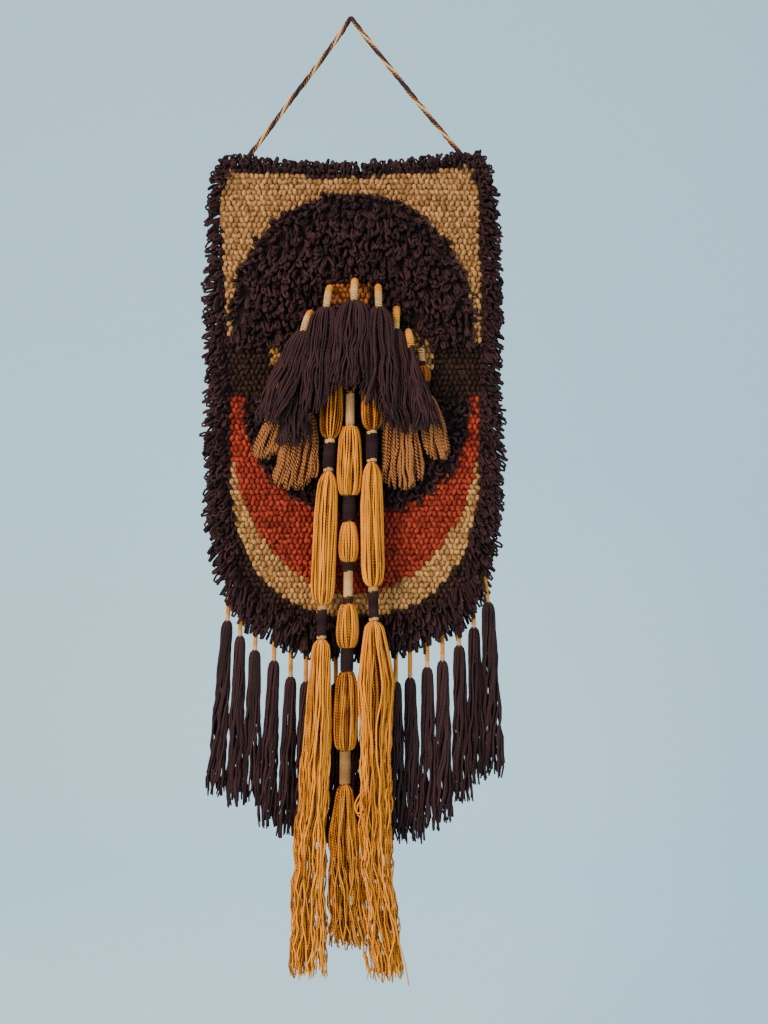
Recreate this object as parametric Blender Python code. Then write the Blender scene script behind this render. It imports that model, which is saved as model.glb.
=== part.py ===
"""Hooked and looped wall hanging with a shag rim, an arch of tassels, three bound hanks and a
tasselled lower edge, hung from a twisted cord.

Tables are in millimetres: x to the right of the nail, drop below it, and depth forward from the
wall. The model is in metres, with +Z up, -Y forward and the origin where the cord meets the nail.
"""

import math
import random
from collections import namedtuple

import bmesh
import bpy
from mathutils import Vector, geometry, noise

MM = 0.001
TOUCH = 0.3
FORWARD = Vector((0.0, -1.0, 0.0))

# The panel: canvas outline.
CANVAS_CENTRE_X = 3.0
CANVAS_HALF_WIDTH = 143.5
LEFT_CORNER_DROP = 147.0
RIGHT_CORNER_DROP = 140.5
TOP_SAG = 13.0
LEFT_DRAW = 6.0
RIGHT_DRAW = 11.0
CORNER_FADE = 40.0
SIDE_WAVE = 1.2
SIDE_WAVE_LENGTH = 23.0
ROUND_START = 481.0
ROUND_DEPTH = 168.0
ROUND_POWER = 2.5
RIM_POINTS = 100
OUTLINE_STEPS = 60
PILE_GRID = 17.0
ZONE_PITCH = 13.0
ZONE_STEP = 3.5
ZONE_ROOM = 4.5
EDGE_ROOM = 4.0

# The panel: heights of its pile above the wall, and of the lumps that its loops make.
BINDING_HEIGHT = 7.0
RIM_HEIGHT = 15.0
LOW_PILE_HEIGHT = 9.0
SHAG_HEIGHT = 21.0
RIM_WIDTH = 13.0
RIM_LUMP = 2.2
LOW_PILE_LUMP = 0.9
SHAG_LUMP = 3.0
LUMP_WIDTH = 11.0
LUMP_DROP = 9.0
PAD_RADIUS = 5.5

# Locks of shag at the rim: ranges of their lengths and of how far their ends droop or lean.
TOP_LOCKS_END = 172.0
TOP_LOCKS = (4.0, 8.0)
SIDE_LOCKS = (9.0, 16.0)
BOTTOM_LOCKS = (12.0, 18.0)
LOCK_DROOP = (2.0, 6.0)
LOCK_LEAN = 3.5
LOCK_TIP = (0.3, 0.6)

# The panel: the low field, which the rim's shag surrounds, and the half-round of long shag.
Round = namedtuple("Round", "centre_x start half_width depth power")
FIELD = Round(2.0, 463.0, 131.0, 160.0, 2.1)
DOME = Round(1.0, 317.0, 126.0, -137.0, 2.0)
SHAG_LOWEST = 336.0
ARCH_CENTRE = (1.0, 360.0)
ARCH_OUTER = 90.0

# The hanging cord: two bundles of yarn twisted together, from edge to edge over the nail.
CORD_RADIUS = 2.75
CORD_DEPTH = 3.3
CORD_PITCH = 44.0
CORD_STEPS_PER_TURN = 6
CORD_SIDES = 8
CORD_WAIST = 0.62
CordPoint = namedtuple("CordPoint", "x drop")
CORD_ROUTE = [
    CordPoint(-109.5, 150.7),
    CordPoint(-109.3, 147.0),
    CordPoint(-107.9, 143.2),
    CordPoint(-102.0, 135.4),
    CordPoint(-88.0, 116.9),
    CordPoint(-70.0, 93.0),
    CordPoint(-52.0, 69.2),
    CordPoint(-34.0, 45.2),
    CordPoint(-18.0, 23.8),
    CordPoint(-8.0, 9.6),
    CordPoint(-3.4, 1.6),
    CordPoint(0.0, -2.7),
    CordPoint(3.6, 1.2),
    CordPoint(9.0, 8.4),
    CordPoint(20.0, 22.6),
    CordPoint(38.0, 45.4),
    CordPoint(56.0, 67.9),
    CordPoint(74.0, 90.2),
    CordPoint(92.0, 112.2),
    CordPoint(107.0, 130.3),
    CordPoint(114.4, 138.7),
    CordPoint(116.6, 142.1),
    CordPoint(116.9, 145.3),
]

# Tassels of the lower edge, left to right: a bound stem, a head and strands down to the hem.
Fringe = namedtuple("Fringe", "x head_x head_drop hem_x hem_drop half_width")
FRINGE = [
    Fringe(-125.4, -129.0, 629.3, -142.0, 810.3, 7.2),
    Fringe(-115.4, -115.6, 645.2, -122.0, 823.2, 7.0),
    Fringe(-98.5, -100.2, 660.1, -104.2, 820.2, 7.4),
    Fringe(-79.6, -80.3, 671.1, -88.3, 843.1, 7.4),
    Fringe(-62.6, -62.9, 688.0, -68.4, 853.0, 7.4),
    Fringe(-46.7, -47.0, 693.0, -51.5, 857.0, 7.4),
    Fringe(-31.2, -31.1, 693.9, -33.6, 859.0, 7.4),
    Fringe(-15.8, -15.7, 694.9, -16.7, 860.0, 7.4),
    Fringe(0.1, 0.2, 694.9, 0.2, 860.0, 7.4),
    Fringe(16.1, 16.1, 694.9, 16.6, 860.0, 7.4),
    Fringe(32.0, 32.0, 693.9, 33.0, 859.0, 7.4),
    Fringe(47.0, 46.9, 693.0, 48.9, 860.0, 7.3),
    Fringe(61.9, 61.8, 689.0, 65.8, 860.0, 7.3),
    Fringe(79.8, 79.7, 678.0, 81.7, 847.0, 7.4),
    Fringe(95.8, 95.6, 671.1, 97.6, 838.1, 7.4),
    Fringe(111.7, 113.0, 655.2, 116.5, 817.2, 7.4),
    Fringe(127.1, 128.4, 636.3, 132.4, 799.3, 7.3),
    Fringe(137.6, 143.2, 610.4, 149.6, 791.4, 8.3),
]
FRINGE_STEM_RADIUS = 2.7
FRINGE_DEPTH = 7.6
FRINGE_STRANDS = 4

# Tassels of the arch. A stem leaves the panel at the root and bends down; the head hangs on it.
Hung = namedtuple(
    "Hung", "root_x root_drop head_x head_drop hem_x hem_drop depth hem_depth half_width"
)
BROWN = [
    Hung(-53.8, 342.2, -55.8, 360.8, -59.7, 447.6, 31.0, 31.0, 15.0),
    Hung(-41.0, 310.8, -47.7, 331.1, -83.8, 427.1, 42.0, 44.0, 16.0),
    Hung(-21.1, 284.9, -24.0, 307.1, -35.4, 420.4, 43.0, 44.0, 18.0),
    Hung(4.6, 277.5, 4.1, 300.7, -1.6, 388.8, 46.0, 50.5, 17.8),
    Hung(28.7, 283.9, 29.2, 307.1, 31.2, 415.6, 43.0, 44.5, 17.0),
    Hung(47.7, 305.6, 46.7, 328.0, 53.5, 436.1, 34.0, 34.0, 15.0),
    Hung(59.5, 329.1, 62.3, 346.6, 79.7, 433.3, 42.0, 43.0, 12.5),
]
BROWN_STEM_RADIUS = 3.9
BROWN_STRANDS = 6

# Longer twisted tassels that show below the arch. Each has a small bulb on its stem.
TAN = [
    Hung(-69.7, 353.9, -72.7, 403.3, -91.4, 458.7, 15.5, 16.5, 13.0),
    Hung(-45.0, 363.9, -49.0, 411.3, -56.8, 490.3, 16.0, 17.0, 20.0),
    Hung(45.9, 362.0, 49.8, 409.4, 53.7, 490.3, 16.5, 17.0, 20.0),
    Hung(73.5, 348.1, 78.5, 393.5, 92.3, 460.7, 16.0, 16.5, 14.5),
]
TAN_STEM_RADIUS = 3.6
StemRing = namedtuple("StemRing", "share radius")
TAN_STEM = [
    StemRing(0.26, 3.6),
    StemRing(0.33, 4.2),
    StemRing(0.42, 6.6),
    StemRing(0.57, 6.6),
    StemRing(0.70, 4.0),
    StemRing(0.92, 3.6),
]
TAN_STRANDS = 6
SKIRT_DEPTH = 6.5
SKIRT_TOP = 0.62
SHOULDER_FLAT = 0.7
STEM_FLAT = 0.8

# Hanks: bulbs of loose yarn with a binding between each two, then a tassel that spreads to its hem.
Bulb = namedtuple("Bulb", "x top bottom radius")
Spread = namedtuple("Spread", "x drop half_width")
Hank = namedtuple("Hank", "root_x root_drop bulbs tassel")
HANKS = {
    "left": Hank(
        root_x=-17.0,
        root_drop=352.0,
        bulbs=[Bulb(-19.0, 368.6, 438.9, 11.8), Bulb(-26.6, 473.3, 609.5, 12.5)],
        tassel=[
            Spread(-29.3, 644.5, 9.3),
            Spread(-32.7, 729.2, 14.1),
            Spread(-42.5, 870.8, 16.6),
            Spread(-44.6, 991.3, 19.5),
        ],
    ),
    "centre": Hank(
        root_x=0.0,
        root_drop=377.0,
        bulbs=[
            Bulb(-0.8, 425.6, 497.4, 12.6),
            Bulb(-1.6, 524.3, 565.7, 10.3),
            Bulb(-2.5, 608.5, 653.2, 11.5),
            Bulb(-4.4, 677.5, 757.5, 12.1),
        ],
        tassel=[
            Spread(-5.4, 792.6, 8.8),
            Spread(-6.9, 841.5, 15.1),
            Spread(-4.5, 910.0, 18.0),
            Spread(-1.1, 960.9, 20.5),
        ],
    ),
    "right": Hank(
        root_x=20.0,
        root_drop=352.0,
        bulbs=[Bulb(22.2, 368.6, 430.1, 11.4), Bulb(21.8, 463.5, 585.7, 12.1)],
        tassel=[
            Spread(24.3, 621.2, 10.7),
            Spread(26.7, 685.3, 18.0),
            Spread(25.7, 792.6, 15.6),
            Spread(25.7, 870.8, 17.1),
            Spread(36.9, 993.3, 19.0),
        ],
    ),
}
HANK_DEPTHS = [(363.0, 23.0), (450.0, 24.0), (600.0, 33.0), (690.0, 35.0), (1010.0, 31.0)]
HANK_BEND = 13.0
HEAD_SHOULDER = 5.0
HEAD_LENGTH = 22.0
HANK_STRANDS = 7
TASSEL_STEPS = 6
HANK_RIDGE = 0.06
HANK_RAGGED = 6.0
NECK_RADIUS = 3.3

# A bulb's outline: its width as a share of the widest, at shares of the way down. Its ends are necks.
Barrel = namedtuple("Barrel", "down width")
BARREL = [
    Barrel(0.06, 0.62),
    Barrel(0.22, 0.93),
    Barrel(0.55, 1.0),
    Barrel(0.84, 0.86),
    Barrel(0.96, 0.55),
]

# Bindings: yarn wound round a hank's necks, as (colour, top, bottom, radius) for each hank.
Binding = namedtuple("Binding", "colour top bottom radius")
BINDINGS = {
    "left": [
        Binding("cream", 439.4, 443.5, 5.6),
        Binding("brown", 443.8, 468.9, 6.8),
        Binding("cream", 469.2, 472.8, 5.6),
        Binding("cream", 610.0, 614.2, 5.4),
        Binding("brown", 614.5, 640.8, 5.6),
        Binding("cream", 641.1, 644.0, 5.4),
    ],
    "centre": [
        Binding("cream", 392.2, 425.2, 5.0),
        Binding("brown", 497.9, 523.8, 7.2),
        Binding("brown", 566.2, 574.8, 7.0),
        Binding("cream", 575.1, 601.1, 5.2),
        Binding("brown", 601.4, 608.0, 6.2),
        Binding("brown", 653.7, 677.0, 7.2),
        Binding("cream", 757.9, 792.1, 6.0),
    ],
    "right": [
        Binding("cream", 430.6, 434.1, 5.6),
        Binding("brown", 434.4, 459.5, 6.8),
        Binding("cream", 459.8, 463.0, 5.6),
        Binding("cream", 586.2, 590.6, 5.4),
        Binding("brown", 590.9, 617.1, 5.6),
        Binding("cream", 617.4, 620.7, 5.4),
    ],
}
BINDING_SIDES = 8

# Share of a tassel's circumference that its strands take, the rest being gaps.
STRAND_SHARE = 0.7
CORE_SHARE = 0.3
STRAND_SWAY = 0.6

Finish = namedtuple("Finish", "colour roughness")
FINISHES = {
    "shag_and_pile": Finish((0.055, 0.028, 0.024), 0.95),
    "brown_wool": Finish((0.050, 0.024, 0.022), 0.92),
    "gold_wool": Finish((0.62, 0.30, 0.055), 0.88),
    "tan_wool": Finish((0.34, 0.19, 0.075), 0.9),
    "cream_wool": Finish((0.62, 0.50, 0.34), 0.9),
    "cord_yarn": Finish((0.36, 0.22, 0.10), 0.9),
}


def clear_scene():
    for obj in list(bpy.data.objects):
        bpy.data.objects.remove(obj)


def at(x, depth, drop):
    """A place given in millimetres right of the nail, forward of the wall and below the nail."""
    return Vector((x, -depth, -drop)) * MM


def make_material(name):
    finish = FINISHES[name]
    material = bpy.data.materials.new(name)
    material.use_nodes = True
    shader = material.node_tree.nodes["Principled BSDF"]
    shader.inputs["Base Color"].default_value = (*finish.colour, 1.0)
    shader.inputs["Roughness"].default_value = finish.roughness
    shader.inputs["Metallic"].default_value = 0.0
    material.diffuse_color = (*finish.colour, 1.0)
    return material


def make_object(name, bm, material, smooth=True):
    """Turns a closed bmesh into a named object in the scene."""
    bmesh.ops.recalc_face_normals(bm, faces=bm.faces)
    if bm.calc_volume(signed=True) < 0:
        bmesh.ops.reverse_faces(bm, faces=bm.faces)
    mesh = bpy.data.meshes.new(name)
    bm.to_mesh(mesh)
    bm.free()
    if smooth:
        mesh.shade_smooth()
        mesh.set_sharp_from_angle(angle=math.radians(50))
    mesh.materials.append(material)
    obj = bpy.data.objects.new(name, mesh)
    bpy.context.scene.collection.objects.link(obj)
    return obj


def between(rows, value):
    """Straight-line reading of a table of (position, result) rows."""
    for (low, first), (high, second) in zip(rows, rows[1:]):
        if value <= high:
            share = max(0.0, (value - low) / (high - low))
            return first + (second - first) * share
    return rows[-1][1]


def frames(centres, first_along=None):
    """Side and front directions of the rings along a line, with the side kept near +X.

    The first ring faces first_along where that is given, so that it lies flat on its seat.
    """
    made = []
    for i in range(len(centres)):
        ahead = centres[min(i + 1, len(centres) - 1)]
        behind = centres[max(i - 1, 0)]
        along = (ahead - behind).normalized()
        if i == 0 and first_along is not None:
            along = first_along
        side = Vector((1, 0, 0))
        side = (side - along * side.dot(along)).normalized()
        made.append((side, along.cross(side)))
    return made


def even_angles(sides):
    return [2 * math.pi * (i + 0.5) / sides for i in range(sides)]


def strand_angles(strands):
    """Angles of a tassel's points: two for each strand, with a narrower gap after each pair."""
    half = math.pi / strands * STRAND_SHARE
    angles = []
    for i in range(strands):
        middle = 2 * math.pi * (i + 0.5) / strands
        angles += [middle - half, middle + half]
    return angles


def ring_points(centre, frame, radius, angles, flat=1.0, ridge=0.0):
    """A ring of points, flat times as deep as it is wide. The ridge raises every other pair."""
    side, front = frame
    points = []
    for i, angle in enumerate(angles):
        reach = radius * (1 + ridge * (1 if (i // 2) % 2 == 0 else -1))
        points.append(
            centre + side * math.cos(angle) * reach + front * math.sin(angle) * reach * flat
        )
    return points


def add_rings(bm, rings):
    """Skins rings of points, each with the same count, and returns the rings as vertices."""
    made = [[bm.verts.new(point) for point in ring] for ring in rings]
    for upper, lower in zip(made, made[1:]):
        for i in range(len(upper)):
            j = (i + 1) % len(upper)
            bm.faces.new((upper[i], upper[j], lower[j], lower[i]))
    return made


def add_strands(bm, last_ring, centre, ends, rng, thin):
    """Closes a head with a floor of wedges and draws every other wedge out into a strand.

    Each row of ends is (centre, spread, raggedness): a strand keeps its own place in the head,
    spread about that centre. At its end it is thin times as wide as it began.
    """
    sides = len(last_ring)
    core = [bm.verts.new(centre.lerp(v.co, CORE_SHARE)) for v in last_ring]
    bm.faces.new(core)
    for i in range(sides):
        j = (i + 1) % sides
        if i % 2:
            bm.faces.new((last_ring[i], last_ring[j], core[j], core[i]))
            continue
        loop = [last_ring[i], last_ring[j], core[j], core[i]]
        start = [v.co.copy() for v in loop]
        middle = sum(start, Vector()) / 4
        offset = middle - centre
        lag = rng.uniform(-1.0, 1.0)
        for k, (place, spread, ragged) in enumerate(ends, 1):
            share = k / len(ends)
            wide = 1 - (1 - thin) * share
            sway = Vector((math.sin(lag * 3 + k * 1.7), math.cos(lag * 5 + k), 0)) * STRAND_SWAY
            stray = (sway + Vector((0, 0, lag * ragged * share))) * MM
            new_middle = place + offset * spread + stray
            new_loop = [bm.verts.new(new_middle + (p - middle) * wide) for p in start]
            for a in range(4):
                b = (a + 1) % 4
                bm.faces.new((loop[a], loop[b], new_loop[b], new_loop[a]))
            loop = new_loop
        bm.faces.new(loop)


def bend(start, corner, end, steps):
    """Points on a quadratic curve, without the end point."""
    points = []
    for i in range(steps):
        t = i / steps
        points.append(start.lerp(corner, t).lerp(corner.lerp(end, t), t))
    return points


def top_edge(x):
    """Drop of the canvas's upper edge, which sags between its corners."""
    share = (x - CANVAS_CENTRE_X + CANVAS_HALF_WIDTH) / (2 * CANVAS_HALF_WIDTH)
    chord = LEFT_CORNER_DROP + (RIGHT_CORNER_DROP - LEFT_CORNER_DROP) * share
    return chord + TOP_SAG * 4 * share * (1 - share)


def bottom_edge(x):
    """Drop of the canvas's rounded lower edge."""
    share = min(1.0, abs(x - CANVAS_CENTRE_X) / CANVAS_HALF_WIDTH)
    return ROUND_START + ROUND_DEPTH * (1 - share**ROUND_POWER) ** (1 / ROUND_POWER)


def half_width(drop, draw=0.0):
    """Half width of the canvas, a little uneven and drawn in near a corner that the cord holds."""
    drawn = draw * math.exp(-max(0.0, drop - LEFT_CORNER_DROP) / CORNER_FADE)
    return CANVAS_HALF_WIDTH - drawn + SIDE_WAVE * math.sin((ROUND_START - drop) / SIDE_WAVE_LENGTH)


def canvas_outline():
    """The canvas's outline as evenly spaced (x, drop) points, clockwise from the upper left corner."""
    fine = OUTLINE_STEPS
    left = CANVAS_CENTRE_X - half_width(LEFT_CORNER_DROP, LEFT_DRAW)
    right = CANVAS_CENTRE_X + half_width(RIGHT_CORNER_DROP, RIGHT_DRAW)
    line = []
    for i in range(fine):
        x = left + (right - left) * i / fine
        line.append((x, top_edge(x)))
    for i in range(fine):
        drop = RIGHT_CORNER_DROP + (ROUND_START - RIGHT_CORNER_DROP) * i / fine
        line.append((CANVAS_CENTRE_X + half_width(drop, RIGHT_DRAW), drop))
    for i in range(4 * fine):
        angle = math.pi * i / (4 * fine)
        across = math.copysign(abs(math.cos(angle)) ** (2 / ROUND_POWER), math.cos(angle))
        down = math.sin(angle) ** (2 / ROUND_POWER)
        x = CANVAS_CENTRE_X + CANVAS_HALF_WIDTH * across
        line.append((x, ROUND_START + ROUND_DEPTH * down))
    for i in range(fine + 1):
        drop = ROUND_START + (LEFT_CORNER_DROP - ROUND_START) * i / fine
        line.append((CANVAS_CENTRE_X - half_width(drop, LEFT_DRAW), drop))
    return evenly_round(line, RIM_POINTS)


def evenly(line, count):
    """count + 1 points, the same way apart, from one end of a line of points to the other."""
    line = [Vector(point) for point in line]
    walked = [0.0]
    for start, end in zip(line, line[1:]):
        walked.append(walked[-1] + (end - start).length)
    points = []
    k = 0
    for i in range(count + 1):
        target = walked[-1] * i / count
        while k < len(line) - 2 and walked[k + 1] < target:
            k += 1
        step = max(walked[k + 1] - walked[k], 1e-9)
        points.append(line[k].lerp(line[k + 1], (target - walked[k]) / step))
    return points


def evenly_round(line, count):
    """count points, the same way apart, round a closed line."""
    return evenly(list(line) + [line[0]], count)[:-1]


def smooth(points, steps):
    """A smooth curve through points, with steps short pieces between each two."""
    points = [Vector(point) for point in points]
    line = []
    for i in range(len(points) - 1):
        before = points[max(i - 1, 0)]
        start, end = points[i], points[i + 1]
        after = points[min(i + 2, len(points) - 1)]
        for k in range(steps):
            t = k / steps
            leaving = (end - before) * 0.5
            arriving = (after - start) * 0.5
            line.append(
                start * (2 * t**3 - 3 * t**2 + 1)
                + leaving * (t**3 - 2 * t**2 + t)
                + end * (3 * t**2 - 2 * t**3)
                + arriving * (t**3 - t**2)
            )
    return line + [points[-1]]


def length_of(line):
    return sum(math.dist(a, b) for a, b in zip(line, line[1:]))


def inside_round(shape, x, drop):
    """Whether a place is inside a half-round with straight sides beyond its start."""
    across = abs(x - shape.centre_x) / shape.half_width
    down = max(0.0, (drop - shape.start) / shape.depth)
    return across**shape.power + down**shape.power < 1


def in_arch(x, drop):
    """Whether a place is inside the arch, where the stems start and the shag stops."""
    return math.hypot(x - ARCH_CENTRE[0], drop - ARCH_CENTRE[1]) < ARCH_OUTER


def pile_height(x, drop):
    """Height of the pile above the wall, with the lumps that loops of yarn make."""
    lump = noise.noise(Vector((x / LUMP_WIDTH, drop / LUMP_DROP, 4.0)))
    if drop < top_edge(x) + RIM_WIDTH or not inside_round(FIELD, x, drop):
        return RIM_HEIGHT + RIM_LUMP * lump
    if inside_round(DOME, x, drop) and drop < SHAG_LOWEST and not in_arch(x, drop):
        return SHAG_HEIGHT + SHAG_LUMP * lump
    return LOW_PILE_HEIGHT + LOW_PILE_LUMP * lump


def round_outline(shape, steps):
    """Points round the curved end of a half-round, from its right side to its left."""
    points = []
    for i in range(steps + 1):
        angle = math.pi * i / steps
        across = math.copysign(abs(math.cos(angle)) ** (2 / shape.power), math.cos(angle))
        down = abs(math.sin(angle)) ** (2 / shape.power)
        x = shape.centre_x + shape.half_width * across
        points.append((x, shape.start + shape.depth * down))
    return points


def zone_outlines():
    """Closed outlines of the low field and of the half-round of shag."""
    fine = OUTLINE_STEPS
    field = round_outline(FIELD, 2 * fine)
    for i in range(fine + 1):
        x = FIELD.centre_x + FIELD.half_width * (2 * i / fine - 1)
        field.append((x, top_edge(x) + RIM_WIDTH))
    dome = [(DOME.centre_x + DOME.half_width, SHAG_LOWEST)]
    dome += round_outline(DOME, 2 * fine)
    dome.append((DOME.centre_x - DOME.half_width, SHAG_LOWEST))
    low = math.asin((ARCH_CENTRE[1] - SHAG_LOWEST) / ARCH_OUTER)
    for i in range(fine + 1):
        angle = math.pi - low - (math.pi - 2 * low) * i / fine
        across = ARCH_OUTER * math.cos(angle)
        dome.append((ARCH_CENTRE[0] + across, ARCH_CENTRE[1] - ARCH_OUTER * math.sin(angle)))
    return [evenly_round(line, round(length_of(line) / ZONE_PITCH)) for line in (field, dome)]


def stem_roots():
    """Where stems and hanks leave the front of the panel: all on the low pile inside the arch."""
    roots = [(row.root_x, row.root_drop) for row in BROWN + TAN]
    return roots + [(hank.root_x, hank.root_drop) for hank in HANKS.values()]


def pile_places(rim, roots):
    """(x, drop, height) of the front's points inside the rim: pairs along each zone's outline,
    which keep its step crisp, then a triangular grid.
    """
    found = []
    for line in zone_outlines():
        for i, place in enumerate(line):
            along = (line[(i + 1) % len(line)] - line[i - 1]).normalized()
            across = Vector((along.y, -along.x)) * ZONE_STEP
            for step in (across, -across):
                height = pile_height(*(place + 2 * step))
                add_if_clear(found, place + step, height, rim, roots, ZONE_ROOM)
    row_pitch = PILE_GRID * math.sqrt(3) / 2
    columns = round(CANVAS_HALF_WIDTH / PILE_GRID)
    for row in range(int((ROUND_START + ROUND_DEPTH - RIGHT_CORNER_DROP) / row_pitch)):
        drop = RIGHT_CORNER_DROP + row * row_pitch
        for column in range(-columns, columns + 1):
            x = CANVAS_CENTRE_X + (column + 0.5 * (row % 2)) * PILE_GRID
            place = Vector((x, drop))
            add_if_clear(found, place, pile_height(x, drop), rim, roots, 0.6 * PILE_GRID)
    return found


def add_if_clear(found, place, height, rim, roots, room):
    """Adds a point of the front if it is inside the canvas and clear of the others."""
    x, drop = place
    in_canvas = abs(x - CANVAS_CENTRE_X) < half_width(drop, RIGHT_DRAW) - EDGE_ROOM
    if not in_canvas or not top_edge(x) + EDGE_ROOM < drop < bottom_edge(x) - EDGE_ROOM:
        return
    near_root = any(math.dist(place, root) < PAD_RADIUS + 3.0 for root in roots)
    near_rim = any((place - point).length < room for point in rim)
    near_other = any(math.dist(place, point[:2]) < room for point in found)
    if not (near_root or near_rim or near_other):
        found.append((x, drop, height))


def make_panel(material):
    """The canvas with its pile as one lumpy slab, flat at the back, with locks of shag at its rim."""
    rim = canvas_outline()
    places = [tuple(p) for p in rim]
    heights = [pile_height(p[0], p[1]) for p in rim]
    edges = [(i, (i + 1) % RIM_POINTS) for i in range(RIM_POINTS)]
    roots = stem_roots()
    for x, drop in roots:
        first = len(places)
        for i in range(6):
            angle = math.pi * i / 3
            places.append((x + PAD_RADIUS * math.cos(angle), drop + PAD_RADIUS * math.sin(angle)))
            heights.append(LOW_PILE_HEIGHT)
            edges.append((first + i, first + (i + 1) % 6))
    for x, drop, height in pile_places(rim, roots):
        places.append((x, drop))
        heights.append(height)
    made = geometry.delaunay_2d_cdt([Vector(p) for p in places], edges, [], 1, 1e-5)
    points, faces, source = made[0], made[2], made[3]
    bm = bmesh.new()
    front = [bm.verts.new(at(p[0], heights[source[i][0]], p[1])) for i, p in enumerate(points)]
    for face in faces:
        bm.faces.new([front[i] for i in face])
    on_rim = {source[i][0]: front[i] for i in range(len(points)) if source[i][0] < RIM_POINTS}
    back = [bm.verts.new(at(p[0], 0.0, p[1])) for p in rim]
    middle = [bm.verts.new(at(p[0], BINDING_HEIGHT, p[1])) for p in rim]
    bm.faces.new(back)
    shag_faces = []
    for i in range(RIM_POINTS):
        j = (i + 1) % RIM_POINTS
        bm.faces.new((back[i], back[j], middle[j], middle[i]))
        shag_faces.append(bm.faces.new((middle[i], middle[j], on_rim[j], on_rim[i])))
    bm.normal_update()
    bmesh.ops.recalc_face_normals(bm, faces=bm.faces)
    draw_locks(bm, shag_faces)
    make_object("pile_panel", bm, material, smooth=False)


def draw_locks(bm, shag_faces):
    """Draws a lock of looped shag out of each stretch of the rim. It droops, more so at the sides."""
    rng = random.Random(7)
    bmesh.ops.inset_individual(bm, faces=shag_faces, thickness=0.8 * MM, use_even_offset=False)
    for face in shag_faces:
        middle = face.calc_center_median()
        outward = face.normal.copy()
        outward.y = 0
        outward.normalize()
        along_rim = Vector((outward.z, 0, -outward.x))
        length = rng.uniform(*SIDE_LOCKS)
        droop = rng.uniform(*LOCK_DROOP)
        if -middle.z / MM < TOP_LOCKS_END:
            length = rng.uniform(*TOP_LOCKS)
            droop = 0.0
        elif outward.z < -0.3:
            length = rng.uniform(*BOTTOM_LOCKS)
        lean = along_rim * rng.uniform(-LOCK_LEAN, LOCK_LEAN)
        shift = outward * length + lean + Vector((0, 0, -droop))
        lift = Vector((0, -rng.uniform(-1.0, 1.5), 0))
        narrow = rng.uniform(*LOCK_TIP)
        made = bmesh.ops.extrude_discrete_faces(bm, faces=[face])["faces"][0]
        for vert in made.verts:
            vert.co = middle + (shift + lift) * MM + narrow * (vert.co - middle)


def make_fringe(brown):
    """Tassels of the lower edge: each stem starts just under the canvas's edge."""
    for number, row in enumerate(FRINGE, 1):
        rng = random.Random(100 + number)
        bm = bmesh.new()
        slope = bottom_edge(row.x + 0.5) - bottom_edge(row.x - 0.5)
        outward = Vector((-slope, 1.0)).normalized()
        edge = Vector((row.x, bottom_edge(row.x)))
        root = edge + outward * 2 * TOUCH
        turn = edge + outward * 3.0 + Vector((0.0, 2.5))
        hem = at(row.hem_x, FRINGE_DEPTH, row.hem_drop)
        head = at(row.head_x, FRINGE_DEPTH, row.head_drop)
        centres = [
            at(root.x, BINDING_HEIGHT / 2, root.y),
            at(turn.x, BINDING_HEIGHT / 2, turn.y),
            head,
            head.lerp(hem, 0.04),
            head.lerp(hem, 0.16),
        ]
        radii = [FRINGE_STEM_RADIUS] * 3 + [0.8 * row.half_width, row.half_width]
        angles = strand_angles(FRINGE_STRANDS)
        rings = []
        facing = Vector((outward.x, 0.0, -outward.y))
        for centre, frame, radius in zip(centres, frames(centres, facing), radii):
            rings.append(ring_points(centre, frame, radius * MM, angles, 0.9))
        made = add_rings(bm, rings)
        bm.faces.new(made[0])
        ends = [
            (head.lerp(hem, 0.45), 1.04, 0.0),
            (head.lerp(hem, 0.75), 1.06, 2.0),
            (hem, 1.05, 5.0),
        ]
        add_strands(bm, made[-1], centres[-1], ends, rng, thin=0.8)
        make_object(f"fringe_tassel_{number:02d}", bm, brown)


def hung_centres(row):
    """Centres of the stem's rings, from its seat on the panel to the head."""
    root = at(row.root_x, LOW_PILE_HEIGHT + TOUCH, row.root_drop)
    corner = at(row.root_x, row.depth, row.root_drop)
    head = at(row.head_x, row.depth, row.head_drop)
    return bend(root, corner, head, 3) + [head]


def hung_mesh(row, stem_radius, strands, bulb):
    """A stem, an optional small bulb on it, a head and strands that spread to the hem."""
    centres = hung_centres(row)
    radii = [stem_radius] * len(centres)
    head = centres[-1]
    hem = at(row.hem_x, row.hem_depth, row.hem_drop)
    if bulb:
        start = at(row.root_x, row.depth, row.root_drop)
        centres = centres[:2] + [start.lerp(head, share) for share, _ in TAN_STEM]
        radii = [stem_radius] * 2 + [radius for _, radius in TAN_STEM]
    flats = [STEM_FLAT] * len(centres) + [SHOULDER_FLAT, SKIRT_DEPTH / row.half_width]
    centres = centres + [head.lerp(hem, 0.07), head.lerp(hem, 0.24)]
    radii = radii + [0.4 * row.half_width + 2.0, SKIRT_TOP * row.half_width]
    angles = strand_angles(strands)
    rings = []
    for centre, frame, radius, flat in zip(centres, frames(centres, FORWARD), radii, flats):
        rings.append(ring_points(centre, frame, radius * MM, angles, flat))
    bm = bmesh.new()
    made = add_rings(bm, rings)
    bm.faces.new(made[0])
    widen = 1 / SKIRT_TOP - 1
    ends = [
        (head.lerp(hem, 0.50), 1 + 0.45 * widen, 0.0),
        (head.lerp(hem, 0.76), 1 + 0.75 * widen, 1.5),
        (hem, 1 + widen, 4.0),
    ]
    rng = random.Random(int(row.root_x * 10) + 5000)
    add_strands(bm, made[-1], centres[-1], ends, rng, thin=1.25)
    return bm


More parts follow.
